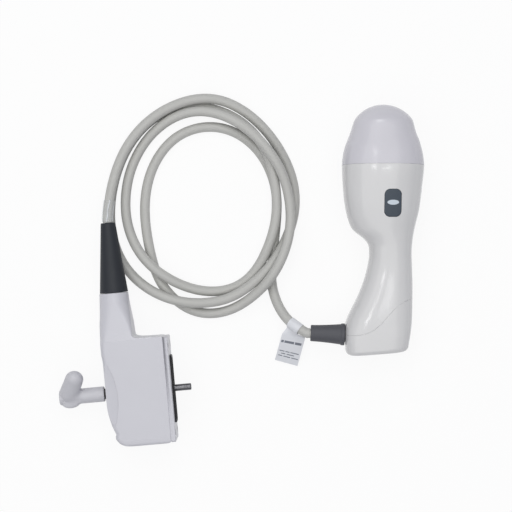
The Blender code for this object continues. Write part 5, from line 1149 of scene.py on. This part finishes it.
housing = dress(make_housing(), "housing_plastic", "probe", "connector_housing", on_cord=True)
print("housing faces:", len(housing.data.polygons))

# %% [markdown]
# ## Front frame and contact shroud
# The open side is closed by a frame with a soft outer edge, and the dark shroud of the contacts
# stands a little proud of it. Both are closed rings: their rows run round the section, from the
# back along the outside to the front and back along the inside.


# %% Front frame and shroud
FRAME_FACE = -1.6
FRAME_CORNER = 1.6
FRAME_INSET = 0.2
FRAME_EDGE = 0.5
FRAME_MARGIN = 0.25
SHROUD_TOP = 26.2
SHROUD_BOTTOM = -26.5
SHROUD_MIDDLE = (SHROUD_TOP + SHROUD_BOTTOM) / 2
SHROUD_HALF = ((SHROUD_TOP - SHROUD_BOTTOM) / 2, 8.5)
SHROUD_CORNER = 2.5
SHARPEST_CORNER = 0.9
SHROUD_WALL = 1.8
SHROUD_PROUD = 1.4
SHROUD_FLANGE = 2.0
SHROUD_EDGE = 0.35
FRAME_BACK = HOUSING_FRONT + 0.05
SHROUD_REAR = FRAME_BACK - 0.1
OPENING_GAP = 0.06


def face_ring(x, grow=0.0, half=SHROUD_HALF, corner=SHROUD_CORNER, middle=SHROUD_MIDDLE):
    """Rounded rectangle that faces along X, grown on all sides."""
    corner = max(corner + grow, SHARPEST_CORNER)
    outline = rounded_rectangle(half[0] + grow, half[1] + grow, corner, (middle, 0))
    return [(x, y, z) for y, z in outline]


def edge_rows(x, edge, grow, inwards, **shape):
    """Rows that round an edge at the face x: from the outside in, or from the inside out."""
    rows = []
    for angle in QUARTER if inwards else QUARTER[::-1]:
        shift = edge * (1 - math.cos(angle))
        rows.append(face_ring(
            x - edge * (1 - math.sin(angle)), grow - shift if inwards else grow + shift, **shape,
        ))
    return rows


def make_frame():
    """Plate round the opening. Two extra rings keep its face flat up to its edges."""
    outer = {"half": ((FRAME_TOP - FRAME_BOTTOM) / 2, HOUSING_HALF_DEPTH - FRAME_INSET),
             "corner": FRAME_CORNER, "middle": FRAME_MIDDLE}
    rows = [face_ring(FRAME_BACK, 0.0, **outer)]
    rows += edge_rows(FRAME_FACE, FRAME_EDGE, 0.0, True, **outer)
    rows += [
        face_ring(FRAME_FACE, -FRAME_EDGE - FRAME_MARGIN, **outer),
        face_ring(FRAME_FACE, OPENING_GAP + FRAME_MARGIN),
        face_ring(FRAME_FACE, OPENING_GAP), face_ring(FRAME_BACK, OPENING_GAP),
    ]
    return new_piece("front_frame_plate", loft(rows, ring=True), PLUG_MM)


def make_shroud():
    """Ring with a flange behind the frame."""
    top = FRAME_FACE + SHROUD_PROUD
    foot = SHROUD_REAR - SHROUD_FLANGE
    rows = [face_ring(foot, SHROUD_FLANGE), face_ring(SHROUD_REAR, SHROUD_FLANGE)]
    rows += [face_ring(SHROUD_REAR, 0.0)] + edge_rows(top, SHROUD_EDGE, 0.0, True)
    rows += edge_rows(top, SHROUD_EDGE, -SHROUD_WALL, False) + [face_ring(foot, -SHROUD_WALL)]
    return new_piece("contact_shroud_ring", loft(rows, ring=True), PLUG_MM)


front_frame = dress(make_frame(), "housing_plastic", "probe", "front_frame", on_cord=True)
shroud = dress(make_shroud(), "black_plastic", "probe", "contact_shroud", on_cord=True)
print("frame and shroud faces:", len(front_frame.data.polygons), len(shroud.data.polygons))

# %% [markdown]
# ## Screws and contacts, placed by Geometry Nodes
# Four countersunk screws hold the frame, and small round contacts stand in rows on the block.
# Both repeat, so one tree places a master shape on each point of a mesh and makes the copies
# real. The points are all that differs between the two.


# %% Repeated fasteners and contacts
SCREW_PLACE = (34.0, 13.6)
SCREW_RADIUS = 1.2
SCREW_HEAD = 2.4
SCREW_LENGTH = 13.0
SCREW_SINK = 1.4
SCREW_DROP = 0.2
SCREW_SIDES = 24
SCREW_POINT = 0.6
HEAD_EDGE = 0.15
SOCKET_DEEP = 0.9
SOCKET_FLOOR = 1.05
SOCKET_MOUTH = 1.1
SEAT_GAP = 0.05
SEAT_SPAN = (-8.0, 2.0)
BOSS_RADIUS = 3.4
BOSS_HOLE = 1.5
BOSS_LENGTH = 16.0
BOSS_FRONT = HOUSING_FRONT - 0.02
CONTACT_RECESS = 1.2
CONTACT_PROFILE = [(0, 0.35), (0.42, 0.35), (0.6, 0.22), (0.6, -0.6), (0, -0.6)]
CONTACT_REACH = 21.6
CONTACT_PITCH = 2.4
CONTACT_ROWS = (-3.9, -1.3, 1.3, 3.9)
CONTACT_CLEAR = 5.2


def make_scatter_tree():
    """Puts a master object on each point, at the scale given, with one finish."""
    tree = bpy.data.node_groups.new("place_on_points", "GeometryNodeTree")
    add_sockets(tree, "INPUT", ("Geometry", "Geometry"), ("Master", "Object"),
                ("Size", "Float", 1.0), ("Finish", "Material"))
    add_sockets(tree, "OUTPUT", ("Geometry", "Geometry"))
    source = add_node(tree, "NodeGroupInput")
    points = add_node(tree, "GeometryNodeMeshToPoints")
    master = add_node(tree, "GeometryNodeObjectInfo")
    place = add_node(tree, "GeometryNodeInstanceOnPoints")
    wire(tree,
         (source, "Geometry", points, "Mesh"), (source, "Master", master, "Object"),
         (points, "Points", place, "Points"), (master, "Geometry", place, "Instance"),
         (source, "Size", place, "Scale"))
    return paint_and_output(tree, source, place, "Instances")


SCATTER = make_scatter_tree()


def scatter(name, master_bm, points, slot, *nodes):
    """One piece of many copies of a master that was drawn along the plug's axes, in mm."""
    master = new_piece(name + "_master", master_bm, PLUG.to_3x3().to_4x4() @ TO_METRES)
    mesh = bpy.data.meshes.new(name)
    mesh.from_pydata([tuple(PLUG_MM @ Vector(p)) for p in points], [], [])
    piece = add_object(name, mesh)
    apply_nodes(piece, SCATTER, {"Master": master, "Size": 1.0, "Finish": FINISHES[slot]})
    bpy.data.objects.remove(master, do_unlink=True)
    return dress(piece, slot, "probe", *nodes, on_cord=True)


def across(bm):
    """Turns a solid drawn along Z so that it lies along X."""
    bmesh.ops.transform(bm, matrix=QUARTER_TURN, verts=bm.verts)
    return bm


def screw_master():
    """Countersunk screw with a six-sided socket, its head's face at height 0."""
    under_head = SCREW_DROP - SCREW_SINK + SEAT_GAP
    rows = [[(0, 0, -SOCKET_DEEP)]] + [circle(radius, height, SCREW_SIDES) for radius, height in (
        (SOCKET_FLOOR, -SOCKET_DEEP), (SOCKET_MOUTH, 0.0),
        (SCREW_HEAD - HEAD_EDGE, 0.0), (SCREW_HEAD, -HEAD_EDGE), (SCREW_HEAD, under_head),
        (SCREW_RADIUS, under_head), (SCREW_RADIUS, SCREW_POINT - SCREW_LENGTH),
        (SCREW_POINT, -SCREW_LENGTH),
    )]
    for row in rows[1:3]:
        for k, (x, y, z) in enumerate(row):
            turn = 360 / SCREW_SIDES * k % 60 - 30
            reach = math.cos(math.radians(30)) / math.cos(math.radians(turn))
            row[k] = (x * reach, y * reach, z)
    rows.append([(0, 0, -SCREW_LENGTH)])
    return loft(rows)


screw_places = [(FRAME_MIDDLE + sy * SCREW_PLACE[0], sz * SCREW_PLACE[1])
                for sy in (-1, 1) for sz in (-1, 1)]
ledge = FRAME_FACE - SCREW_SINK
shank, head = SCREW_RADIUS + SEAT_GAP, SCREW_HEAD + SEAT_GAP
for y, z in screw_places:
    seat = turned([(0, SEAT_SPAN[0]), (shank, SEAT_SPAN[0]), (shank, ledge), (head, ledge),
                   (head, SEAT_SPAN[1]), (0, SEAT_SPAN[1])], 32)
    bmesh.ops.translate(across(seat), vec=(0, y, z), verts=seat.verts)
    carve(front_frame, seat, PLUG_MM)
scatter("frame_screws", across(screw_master()),
        [(FRAME_FACE - SCREW_DROP, y, z) for y, z in screw_places], "steel",
        *[f"frame_screw_{number}" for number in (1, 2, 3, 4)])

boss_rows = [circle(radius, height, SCREW_SIDES) for radius, height in (
    (BOSS_RADIUS, -BOSS_LENGTH), (BOSS_RADIUS, 0.0), (BOSS_HOLE, 0.0), (BOSS_HOLE, -BOSS_LENGTH),
)]
scatter("screw_bosses", across(loft(boss_rows, ring=True)),
        [(BOSS_FRONT, y, z) for y, z in screw_places], "housing_plastic")

contact_columns = np.arange(
    SHROUD_MIDDLE - CONTACT_REACH, SHROUD_MIDDLE + CONTACT_REACH + 0.1, CONTACT_PITCH,
)
contact_places = [(FRAME_FACE - CONTACT_RECESS, y, z) for y in contact_columns
                  for z in CONTACT_ROWS if math.hypot(y, z) > CONTACT_CLEAR]
scatter("contact_pins", across(turned(CONTACT_PROFILE, 12)), contact_places, "brass")
print("screws:", len(screw_places), "contacts:", len(contact_places))

# %% [markdown]
# ## The lock lever
# The lever is one soft casting: a round stem on the shaft's line, an arm that leans back over
# it and a short blunt tail with a flat facet. The bodies are drawn apart and merged by a voxel
# remesh, which gives one skin, and a few rounds of smoothing turn the sharp seams into small
# fillets. The facet is cut before the arm joins, so it can't reach into the arm. The joint of
# arm and stem is then smoothed more than the rest, and the flat end and the bore are cut last.


# %% Lock lever
LEVER_END = -91.0
LEVER_REACH = 90.8
FACET_BLOCK = 20.0
LEVER_STEM_START = -55.4
LEVER_STEM_RADIUS = 6.0
LEVER_ELBOW = -84.4
LEVER_LEAN = math.radians(22.0)
LEVER_TURN = math.radians(39.0)
LEVER_FLAT = 0.85
LEVER_ARM_ROWS = ((-2.4, 5.2), (0.6, 7.0), (4.0, 7.8), (9.0, 7.6), (14.0, 7.3), (19.9, 7.1))
LEVER_VOXEL = 0.35 * MM
ELBOW = Vector((LEVER_ELBOW, 0, 0))
ARM_ALONG = Vector((math.sin(LEVER_LEAN), math.cos(LEVER_LEAN), 0))
TURNED_ALONG = Matrix.Rotation(LEVER_TURN, 3, "X") @ ARM_ALONG
STEM_END_EDGE = 1.2
STEM_START_EDGE = 0.4
BORE_RADIUS = 2.7
BORE_SPAN = (LEVER_STEM_START - 20.3, LEVER_STEM_START + 2.0)
TAIL_CENTRE = Vector((-82.3, -3.5, 0.0))
TAIL_RADII = (8.0, 5.6, 6.0)
FACET_HIGH = Vector((-81.0, -2.7, 4.5))
FACET_HALF = 7.3
FACET_TILT = math.radians(16.0)
FACET_WALL = math.radians(50.0)
TAIL_ROUNDS = 3
ARM_ROUNDS = 5
FILLET_REACH = 3.0
FILLET_FADE = 3.0
FILLET_FACTOR = 0.9
FILLET_ROUNDS = 180


def lever_arm():
    """The leaning arm with its round end, in the plane of the lever."""
    side = Vector((-ARM_ALONG.y, ARM_ALONG.x, 0))
    end, tip = LEVER_ARM_ROWS[-1]
    stations = list(LEVER_ARM_ROWS)
    for degrees in range(10, 90, 10):
        angle = math.radians(degrees)
        stations.append((end + tip * math.sin(angle), tip * math.cos(angle)))
    rows = []
    for place, radius in stations:
        middle = ELBOW + ARM_ALONG * place
        rows.append([
            middle + side * radius * math.cos(a)
            + Vector((0, 0, LEVER_FLAT * radius * math.sin(a)))
            for a in np.linspace(0, 2 * math.pi, 64, endpoint=False)
        ])
    rows.append([ELBOW + ARM_ALONG * (end + tip)])
    return loft(rows)


def near_joint(point):
    """How close a point of the lever, in millimetres, is to the seam of stem and arm, 0 to 1."""
    from_stem = math.hypot(point.y, point.z) - LEVER_STEM_RADIUS
    offset = point - ELBOW
    off_line = (offset - TURNED_ALONG * max(offset.dot(TURNED_ALONG), 0.0)).length
    from_arm = off_line - LEVER_ARM_ROWS[2][1] * LEVER_FLAT
    side = min(max((point.x - LEVER_ELBOW) / FILLET_FADE, 0.0), 1.0)
    return side * math.exp(-(from_stem ** 2 + from_arm ** 2) / (2 * FILLET_REACH ** 2))


def one_skin(piece, rounds):
    """Merges what overlaps into one fine skin and smooths it for some rounds."""
    remesh = piece.modifiers.new("one_skin", "REMESH")
    remesh.mode = "VOXEL"
    remesh.voxel_size = LEVER_VOXEL
    remesh.use_smooth_shade = True
    soften = piece.modifiers.new("fillets", "SMOOTH")
    soften.factor = 0.5
    soften.iterations = rounds
    bake(piece)


def lever_stem():
    """Round stem with its long soft end."""
    profile = [(0, LEVER_END)] + rounded_end(LEVER_STEM_RADIUS, LEVER_END, STEM_END_EDGE, -1)
    profile += rounded_end(LEVER_STEM_RADIUS, LEVER_STEM_START, STEM_START_EDGE, 1)[::-1]
    return across(turned(profile + [(0, LEVER_STEM_START)], 96))


def lever_tail():
    """The tail as a ball that three radii stretch."""
    ball = bmesh.new()
    bmesh.ops.create_uvsphere(ball, u_segments=64, v_segments=32, radius=1.0)
    shape = Matrix.Translation(TAIL_CENTRE) @ Matrix.Diagonal((*TAIL_RADII, 1))
    return new_piece("lever_tail", ball, PLUG_MM @ shape)


def facet_wedge():
    """Block whose sloping floor is the facet."""
    tall = FACET_BLOCK
    wedge = [(0, 0), (-tall, -tall * math.tan(FACET_TILT)), (-tall, tall),
             (tall * math.tan(FACET_WALL), tall)]
    return loft([[FACET_HIGH + Vector((x, y, z)) for y, z in wedge]
                 for x in (-FACET_HALF, FACET_HALF)])


def soften_joint(lever):
    """Smooths the seam between the arm and the stem, and fades out round it."""
    to_plug = PLUG_MM.inverted()
    joint = lever.vertex_groups.new(name="joint")
    for vertex in lever.data.vertices:
        joint.add([vertex.index], near_joint(to_plug @ vertex.co), "REPLACE")
    blend = lever.modifiers.new("joint_fillet", "SMOOTH")
    blend.vertex_group = joint.name
    blend.factor = FILLET_FACTOR
    blend.iterations = FILLET_ROUNDS
    bake(lever)
    lever.vertex_groups.clear()


def make_lever():
    """Stem and tail, the facet, the arm, the soft joint, the flat end and the bore, in order."""
    lever = new_piece("lever_body", lever_stem(), PLUG_MM)
    arm = new_piece("lever_arm", lever_arm(), PLUG_MM @ Matrix.Rotation(LEVER_TURN, 4, "X"))
    cut(lever, lever_tail(), "UNION")
    one_skin(lever, TAIL_ROUNDS)
    cut(lever, new_piece("facet", facet_wedge(), PLUG_MM))
    cut(lever, arm, "UNION")
    one_skin(lever, ARM_ROUNDS)
    soften_joint(lever)
    tall = FACET_BLOCK
    square = ((-tall, -tall), (tall, -tall), (tall, tall), (-tall, tall))
    carve(lever, loft([[(x, y, z) for y, z in square]
                       for x in (-LEVER_REACH - tall, -LEVER_REACH)]), PLUG_MM)
    carve(lever, across(rod(BORE_RADIUS, *BORE_SPAN)), PLUG_MM)
    return lever


lever = dress(make_lever(), "lever_plastic", "lock", "lock_lever", on_cord=True)
print("lever faces:", len(lever.data.polygons))

# %% [markdown]
# ## Lock shaft
# The shaft runs from the lever through the housing and ends in front of the contacts, where a
# cross pin catches in the socket. It is dark phosphated steel, mottled by handling.


# %% Lock shaft
SHAFT_RADIUS = 2.65
SHAFT_TIP = 13.0
SHAFT_STRAIGHT = SHAFT_TIP - 8.0
SHAFT_EDGE = 0.8
SHAFT_BACK = LEVER_STEM_START - 20.0
PIN_RADIUS = 0.9
PIN_HALF = 3.7
PIN_EDGE = 0.25
PIN_PLACE = PLUG_MM @ Matrix.Translation((SHAFT_TIP - 4.0, 0, 0))
PIN_HOLE_GAP = 0.05
PIN_HOLE_SPAN = (-5.0, 5.0)


def make_shaft():
    """Round bar with a soft tip and a hole for the cross pin."""
    profile = [(0, SHAFT_BACK), (SHAFT_RADIUS, SHAFT_BACK)]
    profile += [(SHAFT_RADIUS, x) for x in np.linspace(SHAFT_BACK, SHAFT_STRAIGHT, 12)[1:]]
    profile += rounded_end(SHAFT_RADIUS, SHAFT_TIP, SHAFT_EDGE, 1)[::-1] + [(0, SHAFT_TIP)]
    shaft = new_piece("lock_shaft_steel", across(turned(profile, 48)), PLUG_MM, sharp=50.0)
    carve(shaft, rod(PIN_RADIUS + PIN_HOLE_GAP, *PIN_HOLE_SPAN, 32), PIN_PLACE)
    return shaft


def make_pin():
    """Cross pin with soft ends."""
    profile = [(0, -PIN_HALF)] + rounded_end(PIN_RADIUS, -PIN_HALF, PIN_EDGE, -1)
    profile += rounded_end(PIN_RADIUS, PIN_HALF, PIN_EDGE, 1)[::-1] + [(0, PIN_HALF)]
    return new_piece("shaft_cross_pin", turned(profile, 32), PIN_PLACE, sharp=50.0)


shaft, pin = make_shaft(), make_pin()
dress(shaft, "steel", "lock", "lock_shaft", material="shaft_steel", on_cord=True)
dress(pin, "steel", "lock", "shaft_pin", material="shaft_steel", on_cord=True)
print("shaft faces:", len(shaft.data.polygons))

# %% [markdown]
# ## Film sleeve
# A short clear film is shrunk round the cable just above the connector. It is thin and a
# little crumpled: a few pleats run along it and wander as they go, and its upper edge is torn
# unevenly. Glints are painted along the same pleats: the film is made whiter and more opaque
# there, so they show as white streaks.


# %% Film sleeve
SLEEVE_START = 0.4
SLEEVE_LENGTH = 16.8
SLEEVE_ROWS = 60
SLEEVE_COLUMNS = 160
SLEEVE_INNER = 3.98
SLEEVE_FOLD = 0.42
SLEEVE_WALL = 0.16
SLEEVE_TEAR = 1.6
SMOOTH_FOLD = 0.12
PLEAT_WANDER = 0.35
PLEAT_PACE = 0.16
CRUMPLE = 0.30
CRUMPLE_SCALE = 1.6
CRUMPLE_ROUND = 3.0
CRUMPLE_PACE = 0.12
SLEEVE_PLEATS = ((1.65, 0.13), (2.85, 0.10), (0.35, 0.08), (4.1, 0.16), (5.3, 0.12))
PATH_MM = CABLE_PATH / MM
ALONG_MM = distances(PATH_MM)
noise.seed_set(7)


def path_point(place):
    """Point of the cable's centre line at a distance along it, in millimetres."""
    return Vector([float(np.interp(place, ALONG_MM, PATH_MM[:, k])) for k in range(3)])


def on_cable(place, angle, radius):
    """Point in metres beside the centre line, from a distance along it, an angle and a reach."""
    here = path_point(place)
    direction = (path_point(place + 0.5) - here).normalized()
    side = Vector((0, 0, 1)).cross(direction).normalized()
    up = direction.cross(side)
    return (here + (side * math.cos(angle) + up * math.sin(angle)) * radius) * MM


def fold(place, angle):
    """Crumple between 0 and 1: a few pleats that wander as they run along the sleeve."""
    at = Vector((CRUMPLE_ROUND * math.cos(angle), CRUMPLE_ROUND * math.sin(angle),
                 place * CRUMPLE_PACE))
    high = 0.0
    for turn, width in SLEEVE_PLEATS:
        wander = turn + PLEAT_WANDER * noise.noise(Vector((turn, 0.0, place * PLEAT_PACE)))
        gap = (angle - wander + math.pi) % (2 * math.pi) - math.pi
        high = max(high, math.exp(-(gap / width) ** 2))
    crumple = CRUMPLE * noise.noise(at * CRUMPLE_SCALE)
    return max(0.0, min(1.0, SMOOTH_FOLD + high + crumple))


def make_sleeve():
    """Thin double skin, with each point's fold stored for the painted glints of its finish."""
    angles = [2 * math.pi * column / SLEEVE_COLUMNS for column in range(SLEEVE_COLUMNS)]
    shares = [row / (SLEEVE_ROWS - 1) for row in range(SLEEVE_ROWS)]
    outer, inner, folds = [], [], []
    for share in shares:
        ring_out, ring_in = [], []
        for angle in angles:
            torn = noise.noise(Vector((2 * math.cos(angle), 2 * math.sin(angle), 5.0)))
            place = SLEEVE_START + share * (SLEEVE_LENGTH + SLEEVE_TEAR * torn * share)
            radius = SLEEVE_INNER + SLEEVE_FOLD * fold(place, angle)
            ring_in.append(on_cable(place, angle, radius))
            ring_out.append(on_cable(place, angle, radius + SLEEVE_WALL))
        outer.append(ring_out)
        inner.append(ring_in)
        folds.append([fold(SLEEVE_START + SLEEVE_LENGTH * share, angle) for angle in angles])
    sleeve = new_piece("film_sleeve_soft", loft(outer + inner[::-1], ring=True), sharp=60.0)
    # The fold of each point drives the painted glints in the film's finish.
    painted_glints = sleeve.data.attributes.new("fold", "FLOAT", "POINT")
    painted_glints.data.foreach_set("value", [v for row in folds + folds[::-1] for v in row])
    return sleeve


def film_finish():
    """Paints glints: the clear film turns whiter and more opaque along its folds."""
    tree = FINISHES["clear_film"].node_tree
    streak = add_node(tree, "ShaderNodeAttribute", attribute_name="fold")
    glint_opacity = add_node(tree, "ShaderNodeMapRange", [
        ("From Min", 0.35), ("From Max", 1.0), ("To Min", 0.10), ("To Max", 0.80),
    ])
    wire(tree, (streak, "Fac", glint_opacity, "Value"),
         (glint_opacity, "Result", tree.nodes["Principled BSDF"], "Alpha"))


film_finish()
sleeve = dress(make_sleeve(), "clear_film", "probe", "film_sleeve", on_cord=True)
print("sleeve faces:", len(sleeve.data.polygons))

# %% [markdown]
# ## Cable tag
# A printed film label is folded round the cable and stuck to itself, and its flag hangs down to
# the table. The flag is a thin closed plate of rows across it: narrow at the cable, wide below
# the shoulders, with round corners and a slight bow. Its print is left as plain bars.


# %% Cable tag
TAG_MIDDLE = Vector((-55.08, -74.90, 17.84))
TAG_INNER = 4.15
TAG_WRAP = (-4.9, 5.4)
TAG_FILM = 0.4
TAG_ROWS = 40
TAG_COLUMNS = 36
TAG_BOW = 0.5
TAG_CROSS_BOW = 0.3
TAG_ROOT_DROP = 0.6
TAG_SLANT = 0.5
PRINT_LIFTS = (0.12, TAG_FILM / 2 + 0.04)
TAG_SHOULDERS = (Vector((-66.0, -81.6, 13.6)), Vector((-47.6, -84.7, 14.4)))
TAG_FOOT = (Vector((-71.4, -102.7, 2.6)), Vector((-53.4, -107.7, 2.6)))
TAG_PRINT = (
    (0.25, 0.085, ((0.05, 0.16), (0.19, 0.60), (0.64, 0.92))),
    (0.60, 0.030, ((0.08, 0.30), (0.34, 0.52), (0.56, 0.92))),
    (0.69, 0.030, ((0.18, 0.36), (0.42, 0.74))),
    (0.78, 0.030, ((0.08, 0.26), (0.31, 0.60), (0.65, 0.94))),
)


def tag_axes():
    """The nearest point of the cable, its direction, its level side and its upward side."""
    i = int(np.argmin(np.linalg.norm(PATH_MM - np.array(TAG_MIDDLE), axis=1)))
    along = Vector(PATH_MM[i + 3] - PATH_MM[i - 3]).normalized()
    side = Vector((0, 0, 1)).cross(along).normalized()
    return Vector(PATH_MM[i]), along, side, along.cross(side)


TAG_AXES = tag_axes()


def tag_point(u, v):
    """Point of the flag: u across it from 0 to 1, v down it, with 0 at the shoulders."""
    middle, along, side, up = TAG_AXES
    if v < 0:
        reach = TAG_INNER + TAG_FILM / 2
        root = [middle + along * place - side * reach - up * TAG_ROOT_DROP for place in TAG_WRAP]
        edge = [a.lerp(b, 1 + v) for a, b in zip(root, TAG_SHOULDERS)]
    else:
        edge = [a.lerp(b, v) for a, b in zip(TAG_SHOULDERS, TAG_FOOT)]
    point = edge[0].lerp(edge[1], u)
    bow = TAG_BOW * math.sin(math.pi * max(v, 0))
    return point + Vector((0, 0, bow + TAG_CROSS_BOW * math.sin(math.pi * u) * max(v, 0)))


def tag_sheet(low, high, spans, rows, columns):
    """Closed plate on the flag between two lifts, over a range of u and of v."""
    (u0, u1), (v0, v1) = spans
    rows_of_plate = []
    for v in np.linspace(v0, v1, rows):
        top, bottom = [], []
        for u in np.linspace(u0, u1, columns):
            across_u = tag_point(u + 0.01, v) - tag_point(u - 0.01, v)
            down = tag_point(u, v + 0.01) - tag_point(u, v - 0.01)
            normal = down.cross(across_u).normalized()
            top.append(tag_point(u, v) + normal * high)
            bottom.append(tag_point(u, v) + normal * low)
        rows_of_plate.append(top + bottom[::-1])
    return loft(rows_of_plate)


def make_tag():
    """The wrap round the cable, joined to the flag."""
    middle, along, side, up = TAG_AXES
    ring = []
    shares = np.linspace(0, 1, 9)
    for radius, order in ((TAG_INNER + TAG_FILM, shares), (TAG_INNER, shares[::-1])):
        for share in order:
            place = TAG_WRAP[0] + (TAG_WRAP[1] - TAG_WRAP[0]) * share
            ring.append([
                middle + along * (place + TAG_SLANT * math.sin(a) * share)
                + (side * math.cos(a) + up * math.sin(a)) * radius
                for a in np.linspace(0, 2 * math.pi, 96, endpoint=False)
            ])
    tag = new_piece("cable_tag_film", loft(ring, ring=True), TO_METRES)
    flag = tag_sheet(-TAG_FILM / 2, TAG_FILM / 2, ((0.0, 1.0), (-1.0, 1.0)), TAG_ROWS, TAG_COLUMNS)
    cut(tag, new_piece("tag_flag", flag, TO_METRES), "UNION")
    return tag


def make_print():
    """Plain bars, a little above the flag."""
    bars = bmesh.new()
    for v, height, dashes in TAG_PRINT:
        for dash in dashes:
            part = tag_sheet(*PRINT_LIFTS, (dash, (v - height / 2, v + height / 2)), 4, 8)
            plain = bpy.data.meshes.new("dash")
            part.to_mesh(plain)
            part.free()
            bars.from_mesh(plain)
            bpy.data.meshes.remove(plain)
    return new_piece("tag_print", bars, TO_METRES)


tag = dress(make_tag(), "tag_white", "probe", "cable_tag", on_cord=True)
dress(make_print(), "tag_white", "probe", material="tag_ink", on_cord=True)
print("tag faces:", len(tag.data.polygons))

# %% [markdown]
# ## The cord's facts
# The cable leaves the probe at its strain relief and ends in the connector. Its length is what
# the route measures. The pieces at its far end are gathered in one list.

# %% Cord
REPLACED = {name for piece in bpy.context.scene.objects if "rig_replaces" in piece
            for name in piece["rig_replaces"]}
ON_CORD = [NODES[name] for name in frame["record"]["physics"]["cord_nodes"]
           if name != "cable" and name not in REPLACED]
ON_CORD += CORD_PIECES
print("pieces on the cord:", len(ON_CORD))

# %% [markdown]
# ## Floor and light
# The photograph is a product shot on white: soft warm light from overhead, weaker bluish light
# from all round, and narrow sources whose streaks show on the glossy body: four small lamps
# here. The floor is white paper. The camera sees most of it as plain white, and the rest as
# lit paper, so that the object keeps a faint shadow.


# %% Floor
FLOOR_HALF = 3.0
FLOOR_WHITE = 0.9
FLOOR_PAPER = (0.8, 0.8, 0.8, 1)
WHITE = (1, 1, 1, 1)


def paper_finish():
    """Paper that seen and mirrored rays find mostly plain white, and other rays find lit."""
    paper = bpy.data.materials.new("paper")
    paper.use_nodes = True
    tree = paper.node_tree
    tree.nodes.clear()
    result = add_node(tree, "ShaderNodeOutputMaterial")
    lit = add_node(tree, "ShaderNodeBsdfDiffuse", [("Color", FLOOR_PAPER)])
    white = add_node(tree, "ShaderNodeEmission", [("Color", WHITE), ("Strength", 1.0)])
    path = add_node(tree, "ShaderNodeLightPath")
    glossy = add_node(tree, "ShaderNodeMath", operation="MAXIMUM")
    either = add_node(tree, "ShaderNodeMath", operation="MAXIMUM")
    share = add_node(tree, "ShaderNodeMath", [(1, FLOOR_WHITE)], operation="MULTIPLY")
    mix = add_node(tree, "ShaderNodeMixShader")
    wire(tree,
         (path, "Is Camera Ray", glossy, 0), (path, "Is Glossy Ray", glossy, 1),
         (glossy, "Value", either, 0), (path, "Is Transmission Ray", either, 1),
         (either, "Value", share, 0), (share, "Value", mix, "Fac"), (lit, "BSDF", mix, 1),
         (white, "Emission", mix, 2), (mix, "Shader", result, "Surface"))
    return paper


def make_floor():
    """One large square at height 0."""
    bm = bmesh.new()
    bmesh.ops.create_grid(bm, x_segments=1, y_segments=1, size=FLOOR_HALF)
    mesh = bpy.data.meshes.new("floor")
    bm.to_mesh(mesh)
    bm.free()
    mesh.materials.append(paper_finish())
    return add_object("floor", mesh)


floor = make_floor()
print("floor, m:", [round(side, 2) for side in floor.dimensions])


# %% Light
OVERHEAD_AIM = (-0.08, -0.02, 0.0)
PROBE_AIM = (0.0, -0.02, 0.05)
KEY_COLOUR = (1.0, 0.994, 0.955)
FILL_COLOUR = (0.90, 0.91, 1.0, 1)
FILL_STRENGTH = 0.42
STREAKS = (
    ("streak_left", (-0.25, 0.06, 1.2), 0.08, 0.20, 0.42),
    ("streak_far_left", (-0.22, 0.41, 1.2), 0.12, 0.20, 0.55),
    ("streak_right", (0.18, 0.015, 1.2), 0.06, 0.24, 0.26),
    ("streak_top", (-0.12, 0.85, 0.9), 0.34, 0.16, 1.20),
)


def area_light(name, place, width, height, power, aim=PROBE_AIM):
    """Soft rectangular source that faces the aim point."""
    data = bpy.data.lights.new(name, "AREA")
    data.shape = "RECTANGLE"
    data.size = width
    data.size_y = height
    data.energy = power
    lamp = add_object(name, data)
    lamp.location = place
    lamp.rotation_euler = (Vector(aim) - Vector(place)).to_track_quat("-Z", "Y").to_euler()
    return lamp


def make_world():
    """Even fill light that the camera sees as plain white."""
    world = bpy.data.worlds.new("studio")
    world.use_nodes = True
    tree = world.node_tree
    fill = tree.nodes["Background"]
    fill.inputs["Color"].default_value = FILL_COLOUR
    fill.inputs["Strength"].default_value = FILL_STRENGTH
    white = add_node(tree, "ShaderNodeBackground", [("Color", WHITE)])
    path = add_node(tree, "ShaderNodeLightPath")
    mix = add_node(tree, "ShaderNodeMixShader")
    wire(tree,
         (path, "Is Camera Ray", mix, "Fac"), (fill, "Background", mix, 1),
         (white, "Background", mix, 2), (mix, "Shader", tree.nodes["World Output"], "Surface"))
    bpy.context.scene.world = world


overhead = area_light("overhead", (-0.30, 0.04, 1.55), 2.6, 2.2, 21.0, OVERHEAD_AIM)
overhead.data.color = KEY_COLOUR
for streak in STREAKS:
    area_light(*streak)
make_world()
print("lamps:", 1 + len(STREAKS))
